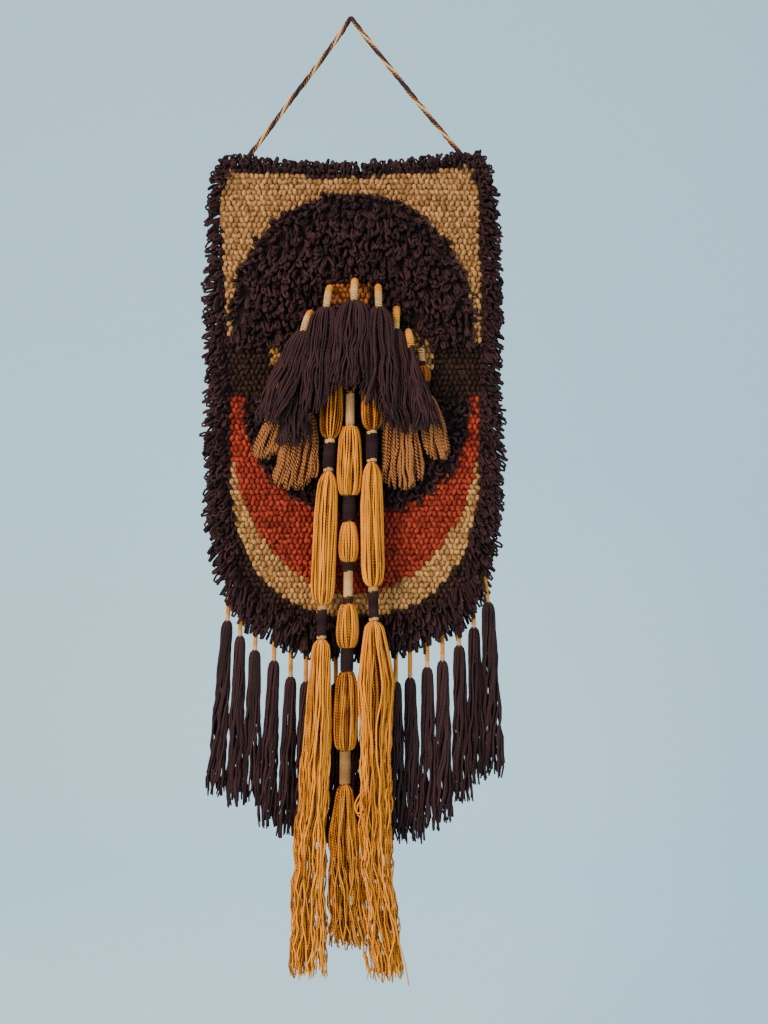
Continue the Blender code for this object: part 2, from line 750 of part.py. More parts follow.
def make_arch(brown, tan):
    """The brown tassels of the arch, and the tan ones that hang behind them."""
    for number, row in enumerate(BROWN, 1):
        bm = hung_mesh(row, BROWN_STEM_RADIUS, BROWN_STRANDS, bulb=False)
        make_object(f"arch_tassel_{number}", bm, brown)
    for number, row in enumerate(TAN, 1):
        bm = hung_mesh(row, TAN_STEM_RADIUS, TAN_STRANDS, bulb=True)
        make_object(f"tan_tassel_{number}", bm, tan)


def hank_x(hank, drop):
    """Sideways place of a hank's middle at a drop."""
    rows = [(hank.root_drop, hank.root_x)]
    rows += [((bulb.top + bulb.bottom) / 2, bulb.x) for bulb in hank.bulbs]
    rows += [(spread.drop, spread.x) for spread in hank.tassel]
    return between(rows, drop)


def hank_centre(hank, drop):
    return at(hank_x(hank, drop), between(HANK_DEPTHS, drop), drop)


def hank_profile(hank):
    """(drop, radius) rows down a hank: thin necks under the bindings and bulbs between them."""
    rows = []
    for bulb in hank.bulbs:
        length = bulb.bottom - bulb.top
        rows.append((bulb.top, NECK_RADIUS))
        rows += [(bulb.top + length * row.down, row.width * bulb.radius) for row in BARREL]
        rows.append((bulb.bottom, NECK_RADIUS))
    head = hank.tassel[0]
    rows.append((head.drop, NECK_RADIUS))
    rows.append((head.drop + HEAD_SHOULDER, 0.75 * head.half_width))
    rows.append((head.drop + HEAD_LENGTH, head.half_width + 1.5))
    return rows


def make_hanks(gold):
    """Three hanks of gold yarn, each bound at intervals and left loose as a tassel at its end."""
    angles = strand_angles(HANK_STRANDS)
    for side, hank in HANKS.items():
        profile = hank_profile(hank)
        root = at(hank.root_x, LOW_PILE_HEIGHT + TOUCH, hank.root_drop)
        first = hank_centre(hank, hank.root_drop + HANK_BEND)
        corner = at(hank.root_x, -first.y / MM, hank.root_drop)
        centres = bend(root, corner, first, 3) + [first]
        radii = [NECK_RADIUS] * len(centres)
        for drop, radius in profile:
            centres.append(hank_centre(hank, drop))
            radii.append(radius)
        rings = []
        for centre, frame, radius in zip(centres, frames(centres, FORWARD), radii):
            ridge = 0.0 if radius == NECK_RADIUS else HANK_RIDGE
            rings.append(ring_points(centre, frame, radius * MM, angles, 1.0, ridge))
        bm = bmesh.new()
        made = add_rings(bm, rings)
        bm.faces.new(made[0])
        start, head_radius = profile[-1]
        hem = hank.tassel[-1]
        widths = [(spread.drop, spread.half_width) for spread in hank.tassel]
        ends = []
        for k in range(1, TASSEL_STEPS + 1):
            drop = start + (hem.drop - start) * k / TASSEL_STEPS
            ends.append((hank_centre(hank, drop), between(widths, drop) / head_radius, HANK_RAGGED))
        add_strands(bm, made[-1], centres[-1], ends, random.Random(len(side)), thin=1.1)
        make_object(f"hank_{side}", bm, gold)


def make_bindings(finishes):
    """Sleeves of wound yarn, each round a neck of its hank and clear of it by the touching gap."""
    angles = even_angles(BINDING_SIDES)
    for side, rows in BINDINGS.items():
        hank = HANKS[side]
        for number, row in enumerate(rows, 1):
            bm = bmesh.new()
            centres = [hank_centre(hank, row.top), hank_centre(hank, row.bottom)]
            frame = frames(centres)[0]
            bore = NECK_RADIUS + 2 * TOUCH
            loops = []
            for centre, radius in zip(centres + centres[::-1], [row.radius] * 2 + [bore] * 2):
                loops.append(ring_points(centre, frame, radius * MM, angles))
            made = add_rings(bm, loops)
            for i in range(BINDING_SIDES):
                j = (i + 1) % BINDING_SIDES
                bm.faces.new((made[3][i], made[3][j], made[0][j], made[0][i]))
            make_object(f"binding_{side}_{number}_{row.colour}", bm, finishes[f"{row.colour}_wool"])


def make_cord(material):
    """The twisted cord: a two-lobed section that turns as it goes along."""
    line = smooth(CORD_ROUTE, 6)
    steps = round(length_of(line) / CORD_PITCH * CORD_STEPS_PER_TURN)
    centres = [at(x, CORD_DEPTH, drop) for x, drop in evenly(line, steps)]
    front = Vector((0, 1, 0))
    rings = []
    for i, centre in enumerate(centres):
        along = centres[min(i + 1, steps)] - centres[max(i - 1, 0)]
        side = along.normalized().cross(front)
        turn = 2 * math.pi * i / CORD_STEPS_PER_TURN
        ring = []
        for k in range(CORD_SIDES):
            angle = 2 * math.pi * k / CORD_SIDES
            lobe = CORD_WAIST + (1 - CORD_WAIST) * abs(math.cos(angle))
            across = side * math.cos(angle + turn) + front * math.sin(angle + turn)
            ring.append(centre + across * CORD_RADIUS * lobe * MM)
        rings.append(ring)
    bm = bmesh.new()
    made = add_rings(bm, rings)
    bm.faces.new(made[0])
    bm.faces.new(made[-1])
    make_object("hanging_cord", bm, material)


def main():
    clear_scene()
    finishes = {name: make_material(name) for name in FINISHES}
    make_panel(finishes["shag_and_pile"])
    make_cord(finishes["cord_yarn"])
    make_fringe(finishes["brown_wool"])
    make_arch(finishes["brown_wool"], finishes["tan_wool"])
    make_hanks(finishes["gold_wool"])
    make_bindings(finishes)


main()
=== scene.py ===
"""Looks of a hooked wall hanging: every loop, strand and winding is a strand of wool.

Places are in millimetres, as (x, depth, drop): to the right of the nail, forward of the wall and
below the nail. They become metres, with +Z up and -Y forward, where a mesh is made.
"""

import math

import bmesh
import bpy
import numpy as np
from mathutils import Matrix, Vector, geometry, noise


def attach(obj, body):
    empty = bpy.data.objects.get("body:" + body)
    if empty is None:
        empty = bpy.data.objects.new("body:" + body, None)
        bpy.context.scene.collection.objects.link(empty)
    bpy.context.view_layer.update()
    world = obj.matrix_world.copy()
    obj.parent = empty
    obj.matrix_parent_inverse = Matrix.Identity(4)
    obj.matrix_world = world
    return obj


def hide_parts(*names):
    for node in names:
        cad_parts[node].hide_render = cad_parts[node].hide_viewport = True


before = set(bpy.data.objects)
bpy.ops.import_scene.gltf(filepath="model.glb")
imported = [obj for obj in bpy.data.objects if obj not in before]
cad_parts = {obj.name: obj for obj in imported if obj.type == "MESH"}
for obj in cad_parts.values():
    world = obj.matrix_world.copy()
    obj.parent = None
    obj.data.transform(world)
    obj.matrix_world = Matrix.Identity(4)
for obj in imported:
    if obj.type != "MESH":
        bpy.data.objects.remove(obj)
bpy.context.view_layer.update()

# The studio: a camera level with the middle of the hanging, a pale sweep of floor and backdrop
# well behind it, so that the back can be seen too, and large soft lights, the main one at the left.
CAMERA_PLACE = (34.65, 1300.0, 514.5)
HALF_VIEW = 537.6
FLOOR_DROP = 1330.0
SWEEP_REACH = 5200.0
BACKDROP_DEPTH = -2400.0
BACKDROP_HEIGHT = 4200.0
COVE = 900.0
COVE_STEPS = 16
LIGHT_AIM = (0.0, 0.0, 480.0)


def metres(places):
    """Places in the scene's own axes."""
    return np.asarray(places, float) * (0.001, -0.001, -0.001)


def linear(code):
    """A colour code as linear red, green and blue, with alpha."""
    parts = [int(code[i : i + 2], 16) / 255 for i in (1, 3, 5)]
    return [((v + 0.055) / 1.055) ** 2.4 if v > 0.04045 else v / 12.92 for v in parts] + [1.0]


def add(tree, kind, settings=None, **inputs):
    """A node with its settings, and its inputs linked to a socket or set to a value."""
    made = tree.nodes.new(kind)
    for key, value in (settings or {}).items():
        setattr(made, key, value)
    for key, value in inputs.items():
        socket = made.inputs[int(key[3:])] if key.startswith("at_") else made.inputs[key.replace("_", " ")]
        if isinstance(value, bpy.types.NodeSocket):
            tree.links.new(value, socket)
        else:
            socket.default_value = value
    return made


def new_material(name):
    """A material, with its node tree and its shader."""
    material = bpy.data.materials.new(name)
    material.use_nodes = True
    return material, material.node_tree, material.node_tree.nodes["Principled BSDF"]


def set_inputs(made, values):
    for key, value in values.items():
        made.inputs[key].default_value = value


camera_data = bpy.data.cameras.new("camera")
camera_data.sensor_fit = "VERTICAL"
camera_data.angle = 2 * math.atan(HALF_VIEW / CAMERA_PLACE[1])
camera = bpy.data.objects.new("camera", camera_data)
camera.location = metres(CAMERA_PLACE)
camera.rotation_euler = (math.pi / 2, 0.0, 0.0)
bpy.context.scene.collection.objects.link(camera)
bpy.context.scene.camera = camera


def add_sweep():
    """Floor and backdrop as one curved sheet."""
    material, _, shader = new_material("sweep_paper")
    set_inputs(shader, {"Base Color": linear("#c6edff"), "Roughness": 0.9})
    profile = [(SWEEP_REACH, FLOOR_DROP), (BACKDROP_DEPTH + COVE, FLOOR_DROP)]
    for i in range(1, COVE_STEPS + 1):
        angle = math.pi / 2 * i / COVE_STEPS
        depth = BACKDROP_DEPTH + COVE * (1 - math.sin(angle))
        profile.append((depth, FLOOR_DROP - COVE * (1 - math.cos(angle))))
    profile.append((BACKDROP_DEPTH, FLOOR_DROP - BACKDROP_HEIGHT))
    places = [(x, depth, drop) for depth, drop in profile for x in (-SWEEP_REACH, SWEEP_REACH)]
    faces = [(2 * i, 2 * i + 1, 2 * i + 3, 2 * i + 2) for i in range(len(profile) - 1)]
    mesh = bpy.data.meshes.new("sweep")
    mesh.from_pydata(metres(places).tolist(), [], faces)
    mesh.shade_smooth()
    mesh.materials.append(material)
    sweep = bpy.data.objects.new("sweep", mesh)
    bpy.context.scene.collection.objects.link(sweep)


def add_softbox(name, place, size, power, colour):
    """An area light that faces the middle of the hanging."""
    data = bpy.data.lights.new(name, "AREA")
    data.shape = "DISK"
    data.size = size
    data.energy = power
    data.color = linear(colour)[:3]
    light = bpy.data.objects.new(name, data)
    light.location = metres(place)
    aim = Vector(metres(LIGHT_AIM)) - light.location
    light.rotation_euler = aim.to_track_quat("-Z", "Y").to_euler()
    bpy.context.scene.collection.objects.link(light)


add_sweep()
add_softbox("main_light", (-1500.0, 1900.0, -500.0), 1.3, 88.0, "#ffe9cb")
add_softbox("fill_light", (1900.0, 1700.0, 300.0), 2.2, 15.0, "#eef4ff")
add_softbox("back_light", (300.0, -1700.0, -700.0), 1.8, 16.0, "#ffffff")
world = bpy.data.worlds.new("studio_air")
world.use_nodes = True
set_inputs(world.node_tree.nodes["Background"], {"Color": linear("#e8eeef"), "Strength": 0.8})
bpy.context.scene.world = world

# The hanging cord: two brown strands of rug wool, two tan and one cream, laid side by side and
# twisted so that they show by turns. It goes from one upper corner over the nail to the other.
CORD_DEPTH = 3.3
CORD_DIAMETER = 5.5
CORD_STRAND = 1.25
CORD_TURN = 46.0
CORD_POINTS = 260
CORD_WOOLS = (0, 0, 1, 2, 1)
CORD_TINTS = (0.8, 0.5, 0.35, 0.6, 0.2)
CORD_ROUTE = [
    (-109.5, 150.7), (-109.3, 147.0), (-107.9, 143.2), (-102.0, 135.4), (-88.0, 116.9),
    (-70.0, 93.0), (-52.0, 69.2), (-34.0, 45.2), (-18.0, 23.8), (-8.0, 9.6), (-3.4, 1.6),
    (0.0, -2.7), (3.6, 1.2), (9.0, 8.4), (20.0, 22.6), (38.0, 45.4), (56.0, 67.9), (74.0, 90.2),
    (92.0, 112.2), (107.0, 130.3), (114.4, 138.7), (116.6, 142.1), (116.9, 145.3),
]
FORWARD = np.array((0.0, 1.0, 0.0))
GOLDEN_SHARE = 0.618
ROOT_WIDTH = 0.7
TIP_WIDTH = 0.75


def maths(tree, operation, *values):
    """What a math node makes of its inputs, each a socket or a number."""
    inputs = {f"at_{number}": value for number, value in enumerate(values)}
    return add(tree, "ShaderNodeMath", {"operation": operation}, **inputs).outputs[0]


def speckle(tree, scale, detail):
    """Noise over a piece's own places."""
    place = add(tree, "ShaderNodeTexCoord").outputs["Object"]
    return add(tree, "ShaderNodeTexNoise", Vector=place, Scale=scale, Detail=detail).outputs[0]


def dyed(tree, shader, shade, light, mix, low, high):
    """Colours a material from shade to light as mix goes from low to high."""
    share = add(tree, "ShaderNodeMapRange", Value=mix, From_Min=low, From_Max=high).outputs[0]
    colours = {"at_6": linear(shade), "at_7": linear(light)}
    colour = add(tree, "ShaderNodeMix", {"data_type": "RGBA"}, at_0=share, **colours)
    tree.links.new(colour.outputs[2], shader.inputs["Base Color"])


def embossed(tree, shader, height, strength, distance):
    bump = add(tree, "ShaderNodeBump", Height=height, Strength=strength, Distance=distance)
    tree.links.new(bump.outputs[0], shader.inputs["Normal"])


def wool(name, shade, light, turn=0.0075, groove=0.45, rough=0.9, painted_ply_shade=0.2, edge=0.2):
    """Plied wool: shade and light are its colours at its darkest and lightest strands.

    The ply attribute holds the cosine and sine of twice the angle round a strand, and the length
    along it, so the plies turn about the strand once in each turn, in metres. The argument contrast
    is how much painted shade darkens the grooves between plies and painted highlight lightens their
    crests, and edge how much painted shade darkens a strand's two sides, where it meets its
    neighbours, beside its lighter front.
    """
    material, tree, shader = new_material(name)
    ply = add(tree, "ShaderNodeAttribute", {"attribute_name": "ply"})
    tint = add(tree, "ShaderNodeAttribute", {"attribute_name": "tint"})
    parts = add(tree, "ShaderNodeSeparateXYZ", Vector=ply.outputs["Vector"]).outputs
    phase = maths(tree, "MULTIPLY", parts[2], 4 * math.pi / turn)
    across = maths(tree, "MULTIPLY", parts[0], maths(tree, "COSINE", phase))
    plies = maths(tree, "MULTIPLY_ADD", parts[1], maths(tree, "SINE", phase), across)
    # Painted shade: each strand is darkened at its two sides, where it meets its neighbours, and lightened
    # at its front.
    tint_and_side_shade = maths(tree, "MULTIPLY_ADD", parts[0], -edge, tint.outputs["Fac"])
    uneven_and_side_shade = maths(tree, "MULTIPLY_ADD", speckle(tree, 55.0, 3.0), 0.7, tint_and_side_shade)
    # Painted shade and painted highlight: the grooves between plies are darkened and their crests
    # lightened.
    tone_and_painted_shade = maths(tree, "MULTIPLY_ADD", plies, painted_ply_shade, uneven_and_side_shade)
    fibre = speckle(tree, 1100.0, 4.0)
    dyed(tree, shader, shade, light, maths(tree, "MULTIPLY_ADD", fibre, 0.5, tone_and_painted_shade), 0.35, 1.45)
    embossed(tree, shader, maths(tree, "MULTIPLY_ADD", plies, groove, fibre), 0.8, 0.0005)
    set_inputs(shader, {"Roughness": rough, "Specular IOR Level": 0.2, "Sheen Weight": 0.03})
    set_inputs(shader, {"Sheen Roughness": 0.45, "Sheen Tint": linear(light)})
    return material


def unit(vectors):
    return vectors / np.linalg.norm(vectors, axis=-1, keepdims=True)


def yarn(
    name, lines, radius, materials, sides=5, facing=FORWARD, tint=None, pick=None, lobes=0.0, turn=9.0
):
    """Closed strands, one along each line of points, as one piece that rides on the hanging.

    facing is a direction that no strand follows. tint is each strand's shade from 0 to 1, and pick
    the number of its material, or one for each of its stretches. With lobes the section has two
    plies that turn once in each turn.
    """
    lines = np.asarray(lines, float)
    count, points = lines.shape[:2]
    along = unit(np.gradient(lines, axis=1))
    side = unit(np.cross(along, np.broadcast_to(facing, lines.shape)))
    front = np.cross(side, along)
    walked = np.zeros((count, points)) + (GOLDEN_SHARE * np.arange(count) % 1.0)[:, None] * turn
    walked[:, 1:] += np.cumsum(np.linalg.norm(np.diff(lines, axis=1), axis=2), axis=1)
    angles = np.pi + 2 * np.pi * np.arange(sides) / sides
    reach = np.full((count, points, sides), float(radius))
    reach[:, 0] *= ROOT_WIDTH
    reach[:, -1] *= TIP_WIDTH
    if lobes:
        reach *= 1 - lobes + lobes * np.abs(np.cos(angles - 2 * np.pi * walked[:, :, None] / turn))
    ring = np.cos(angles)[:, None] * side[:, :, None] + np.sin(angles)[:, None] * front[:, :, None]
    places = lines[:, :, None] + ring * reach[..., None]
    strand = np.arange(count)[:, None, None] * points * sides
    upper = strand + np.arange(points - 1)[:, None] * sides + np.arange(sides)
    after = strand + np.arange(points - 1)[:, None] * sides + (np.arange(sides) + 1) % sides
    walls = np.stack((upper, upper + sides, after + sides, after), axis=-1).reshape(-1, 4)
    starts = strand[:, 0] + np.arange(sides)
    ends = strand[:, 0] + points * sides - 1 - np.arange(sides)
    mesh = bpy.data.meshes.new(name)
    faces = walls.tolist() + starts.tolist() + ends.tolist()
    mesh.from_pydata(metres(places.reshape(-1, 3)), [], faces)
    ply = np.empty((count, points, sides, 3))
    ply[..., 0] = np.cos(2 * angles)
    ply[..., 1] = np.sin(2 * angles)
    ply[..., 2] = walked[:, :, None] / 1000
    mesh.attributes.new("ply", "FLOAT_VECTOR", "POINT").data.foreach_set("vector", ply.ravel())
    if tint is None:
        tint = np.full(count, 0.5)
    shades = np.broadcast_to(np.reshape(tint, (count, -1, 1)), (count, points, sides))
    mesh.attributes.new("tint", "FLOAT", "POINT").data.foreach_set("value", shades.ravel())
    for material in materials:
        mesh.materials.append(material)
    if pick is not None:
        stretches = np.broadcast_to(np.reshape(pick, (count, -1)), (count, points - 1))
        walls_own = np.repeat(stretches, sides, axis=1).ravel()
        indexes = np.concatenate((walls_own, stretches[:, 0], stretches[:, -1]))
        mesh.polygons.foreach_set("material_index", indexes.astype(np.int32))
    mesh.shade_smooth()
    return placed(name, mesh)


def placed(name, mesh):
    """A piece of the hanging from its mesh."""
    made = bpy.data.objects.new(name, mesh)
    bpy.context.scene.collection.objects.link(made)
    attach(made, "root")
    return made


def spline(points, steps):
    """A smooth curve through points, with steps pieces between each two."""
    points = np.asarray(points, float)
    padded = np.vstack((points[:1], points, points[-1:]))
    t = (np.arange(steps) / steps)[:, None]
    line = []
    for before, start, end, after in zip(padded, padded[1:], padded[2:], padded[3:]):
        line.append(
            start * (2 * t**3 - 3 * t**2 + 1)
            + (end - before) / 2 * (t**3 - 2 * t**2 + t)
            + end * (3 * t**2 - 2 * t**3)
            + (after - start) / 2 * (t**3 - t**2)
        )
    return np.vstack(line + [points[-1:]])


def evenly(line, count):
    """count points, the same way apart, along a line."""
    line = np.asarray(line, float)
    walked = np.concatenate(([0.0], np.cumsum(np.linalg.norm(np.diff(line, axis=0), axis=1))))
    targets = np.linspace(0.0, walked[-1], count)
    return np.stack([np.interp(targets, walked, line[:, k]) for k in range(line.shape[1])], axis=1)


def length_of(line):
    return float(np.linalg.norm(np.diff(line, axis=0), axis=1).sum())


# Each wool gets painted shade in the grooves between its plies and at its strands' two sides; the tan
# wool's plies get the strongest.
BROWN = wool("dark_brown_wool", "#0c0607", "#40272a", painted_ply_shade=0.28)
OCHRE = wool("ochre_wool", "#935317", "#e99c3a")
TAN = wool("tan_wool", "#150703", "#ab6b3c", turn=0.0075, groove=1.2, painted_ply_shade=0.9)
CREAM = wool("cream_wool", "#8a6238", "#e2b47c")


def make_cord():
    """Five strands that turn about the cord's centreline, tighter at some places than at others."""
    route = spline([(x, CORD_DEPTH, drop) for x, drop in CORD_ROUTE], 6)
    centre = evenly(route, CORD_POINTS)
    side = np.cross(unit(np.gradient(centre, axis=0)), FORWARD)
    walked = np.linspace(0.0, length_of(centre), len(centre))
    lines = []
    for k in range(len(CORD_WOOLS)):
        angle = 2 * np.pi * (walked / CORD_TURN + k / len(CORD_WOOLS)) + 0.7 * np.sin(walked / 15.0 + k)
        reach = (CORD_DIAMETER / 2 - CORD_STRAND) * (0.9 + 0.1 * np.sin(walked / 9.0 + 2.0 * k))
        across = np.cos(angle)[:, None] * side + np.sin(angle)[:, None] * FORWARD
        lines.append(centre + reach[:, None] * across)
    wools = [BROWN, TAN, CREAM]
    cord = yarn("twisted_cord", lines, CORD_STRAND, wools, 6, tint=CORD_TINTS, pick=CORD_WOOLS)
    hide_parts("hanging_cord")


make_cord()

# The canvas: a rug canvas cut to a rectangle with a rounded lower end, hemmed round its edge at the
# back and hung from the cord. Its cut is worked out from the same outline as the solid panel's.
CENTRE_X = 3.0
HALF_WIDTH = 143.5
LEFT_CORNER_DROP = 147.0
RIGHT_CORNER_DROP = 140.5
TOP_SAG = 13.0
LEFT_DRAW = 6.0
RIGHT_DRAW = 11.0
CORNER_FADE = 40.0
SIDE_WAVE = 1.2
SIDE_WAVE_LENGTH = 23.0
ROUND_START = 481.0
ROUND_DEPTH = 168.0
ROUND_POWER = 2.5
OUTLINE_POINTS = 150
CANVAS_BACK = 1.2
CANVAS_FRONT = 2.4
CANVAS_EDGE = 1.0
CANVAS_MESH = 12.0
CANVAS_SWELL = (0.3, 40.0)
HEM_BACK = 0.4
HEM_EDGE = 0.8
HEM_WIDTH = 12.0
HEM_SWELL = (0.15, 9.0)


def top_edge(x):
    share = (x - CENTRE_X + HALF_WIDTH) / (2 * HALF_WIDTH)
    chord = LEFT_CORNER_DROP + (RIGHT_CORNER_DROP - LEFT_CORNER_DROP) * share
    return chord + TOP_SAG * 4 * share * (1 - share)


def side_reach(drop, draw):
    drawn = draw * math.exp(-max(0.0, drop - LEFT_CORNER_DROP) / CORNER_FADE)
    return HALF_WIDTH - drawn + SIDE_WAVE * math.sin((ROUND_START - drop) / SIDE_WAVE_LENGTH)


def bottom_edge(x):
    share = min(1.0, abs(x - CENTRE_X) / HALF_WIDTH)
    return ROUND_START + ROUND_DEPTH * (1 - share**ROUND_POWER) ** (1 / ROUND_POWER)


def canvas_outline(count, steps=90):
    """The canvas's outline as (x, drop), clockwise from its upper left corner."""
    left = CENTRE_X - side_reach(LEFT_CORNER_DROP, LEFT_DRAW)
    right = CENTRE_X + side_reach(RIGHT_CORNER_DROP, RIGHT_DRAW)
    line = [(x, top_edge(x)) for x in np.linspace(left, right, steps)]
    for drop in np.linspace(RIGHT_CORNER_DROP, ROUND_START, steps):
        line.append((CENTRE_X + side_reach(drop, RIGHT_DRAW), drop))
    for angle in np.linspace(0.0, math.pi, 4 * steps):
        across = math.copysign(abs(math.cos(angle)) ** (2 / ROUND_POWER), math.cos(angle))
        down = abs(math.sin(angle)) ** (2 / ROUND_POWER)
        line.append((CENTRE_X + HALF_WIDTH * across, ROUND_START + ROUND_DEPTH * down))
    for drop in np.linspace(ROUND_START, LEFT_CORNER_DROP, steps):
        line.append((CENTRE_X - side_reach(drop, LEFT_DRAW), drop))
    return evenly(line, count + 1)[:-1]


def edge_steps(outline):
    """The direction along an outline at each of its points."""
    return unit(np.roll(outline, -1, axis=0) - np.roll(outline, 1, axis=0))


def inward(outline, reach):
    """The outline moved in by a reach."""
    step = edge_steps(outline)
    return outline + reach * np.stack((-step[:, 1], step[:, 0]), axis=1)


def woven(name, light, shade, pitch):
    """Plain-woven canvas: threads over and under each other at the pitch, in metres."""
    material, tree, shader = new_material(name)
    place = add(tree, "ShaderNodeTexCoord").outputs["Object"]
    bands = []
    for direction in "XZ":
        settings = {"wave_type": "BANDS", "wave_profile": "SIN", "bands_direction": direction}
        made = add(tree, "ShaderNodeTexWave", settings, Vector=place, Scale=2 * math.pi / pitch / 20)
        bands.append(made.outputs["Fac"])
    threads = maths(tree, "MAXIMUM", *bands)
    dyed(tree, shader, shade, light, maths(tree, "MULTIPLY", threads, speckle(tree, 160.0, 4.0)), 0.15, 0.6)
    embossed(tree, shader, threads, 0.7, 0.0006)
    set_inputs(shader, {"Roughness": 0.92, "Specular IOR Level": 0.2, "Sheen Weight": 0.15})
    return material


def filled(name, outline, pitch, back, front, materials, choose=None):
    """A closed sheet inside an outline: back and front give its two depths at a place."""
    inner = []
    for row, drop in enumerate(np.arange(outline[:, 1].min(), outline[:, 1].max(), pitch)):
        for x in np.arange(outline[:, 0].min(), outline[:, 0].max(), pitch):
            place = np.array((x + (row % 2) * pitch / 2, drop))
            gaps = np.linalg.norm(outline - place, axis=1)
            nearest = int(np.argmin(gaps))
            step = outline[(nearest + 1) % len(outline)] - outline[nearest - 1]
            inside = step[0] * (place[1] - outline[nearest][1]) - step[1] * (place[0] - outline[nearest][0])
            if inside > 0 and gaps[nearest] > 0.6 * pitch:
                inner.append(place)
    count = len(outline)
    edges = [(i, (i + 1) % count) for i in range(count)]
    made = geometry.delaunay_2d_cdt([Vector(p) for p in (*outline, *inner)], edges, [], 1, 1e-5)
    points, faces, source = made[0], made[2], made[3]
    bm = bmesh.new()
    rear = [bm.verts.new(metres((x, back(x, drop), drop))) for x, drop in points]
    fore = [bm.verts.new(metres((x, front(x, drop), drop))) for x, drop in points]
    for face in faces:
        x, drop = sum((points[i] for i in face), Vector((0, 0))) / len(face)
        number = choose(x, drop) if choose else 0
        bm.faces.new([fore[i] for i in face]).material_index = number
        bm.faces.new([rear[i] for i in face][::-1]).material_index = number
    rim = {source[i][0]: i for i in range(len(points)) if source[i][0] < count}
    for i in range(count):
        a, b = rim[i], rim[(i + 1) % count]
        bm.faces.new((rear[a], rear[b], fore[b], fore[a]))
    bmesh.ops.recalc_face_normals(bm, faces=bm.faces)
    mesh = bpy.data.meshes.new(name)
    bm.to_mesh(mesh)
    bm.free()
    mesh.shade_smooth()
    mesh.set_sharp_from_angle(angle=math.radians(60))
    for material in materials:
        mesh.materials.append(material)
    return placed(name, mesh)


def swell(x, drop, reach, size):
    """A smooth unevenness, in millimetres."""
    return reach * noise.noise(Vector((x / size, drop / size, 7.0)))


CANVAS = woven("rug_canvas", "#cfae7c", "#6d5231", 0.0026)
HEM_TAPE = woven("hem_tape", "#5a3f31", "#2a1a14", 0.0014)


def make_canvas():
    """The canvas itself, and the tape that is sewn over its edge at the back."""
    outline = canvas_outline(OUTLINE_POINTS)
    canvas = filled(
        "canvas_sheet",
        inward(outline, CANVAS_EDGE),
        CANVAS_MESH,
        lambda x, drop: CANVAS_BACK + swell(x, drop, *CANVAS_SWELL),
        lambda x, drop: CANVAS_FRONT + swell(x, drop, *CANVAS_SWELL),
        [CANVAS],
    )
    step = np.roll(outline, -1, axis=0)
    area = abs(float((outline[:, 0] * step[:, 1] - outline[:, 1] * step[:, 0]).sum())) / 2e6
    size = (outline.max(axis=0) - outline.min(axis=0)) / 1000
    outer, inner = inward(outline, HEM_EDGE), inward(outline, HEM_WIDTH)
    rings = [(outer, CANVAS_BACK), (outer, HEM_BACK), (inner, HEM_BACK), (inner, CANVAS_BACK)]
    places = [(x, depth + swell(x, drop, *HEM_SWELL), drop) for ring, depth in rings for x, drop in ring]
    count = len(outline)
    faces = []
    for k in range(4):
        for i in range(count):
            a, b = k * count + i, k * count + (i + 1) % count
            c, d = ((k + 1) % 4) * count + i, ((k + 1) % 4) * count + (i + 1) % count
            faces.append((a, c, d, b))
    mesh = bpy.data.meshes.new("hem_tape")
    mesh.from_pydata(metres(places), [], faces)
    mesh.materials.append(HEM_TAPE)
    tape = placed("hem_tape", mesh)
    return canvas, tape, size, area


canvas, hem_tape, cut_size, cut_area = make_canvas()

# The low pile: loops of thick rug wool hooked through every hole of the canvas, cut nowhere. Its
# colours make a half-round over two nested crescents, and a small arch where the tassels start.
PILE_ACROSS = 5.3
PILE_DOWN = 5.7
PILE_JITTER = 0.5
PILE_MARGIN = 3.0
LOOP_POINTS = 5
LOOP_SINK = 1.0
LOOP_RADIUS = 2.3
LOOP_RISE = 5.4
LOOP_SPAN = 2.1
KNOT_RADIUS = 1.4
KNOT_DEPTH = 1.15
KNOT_HALF = 2.3
KNOT_BEND = 0.5
KNOT_JITTER = 0.3
KNOT_MARGIN = 13.0
FIELD_START = 463.0
FIELD_TOP = 7.5
OLIVE_MARGIN = 26.0
LEFT_SIDE = [(150.0, -127.0), (190.0, -136.5), (242.0, -133.6), (308.0, -130.5), (397.0, -125.8)]
RIGHT_SIDE = [(150.0, 126.0), (189.0, 134.0), (292.0, 136.0), (397.0, 134.4), (463.0, 134.2)]
FIELD_END = (4.2, 463.0, 130.0, 160.0, 2.4)
ORANGE_END = (4.2, 455.0, 126.0, 147.0, 1.8)
INNER_END = (7.4, 391.7, 117.6, 122.9, 2.3)
DOME = (1.0, 317.0, 126.0, -136.5, 2.0)
DOME_LOWEST = 336.0
INNER_TOP = 392.0
ARCH_CENTRE = (1.0, 360.0)
ARCH_INNER = 64.0
ARCH_OUTER = 85.5
ARCH_LOWEST = 363.0
RUST_REACH = 21.5
ARCH_ENDS = (337.0, 322.0)


def in_round(shape, x, drop):
    """Whether a place is in a half-round, or between its straight sides beyond its start."""
    centre_x, start, half, depth, power = shape
    return (abs(x - centre_x) / half) ** power + max(0.0, (drop - start) / depth) ** power < 1


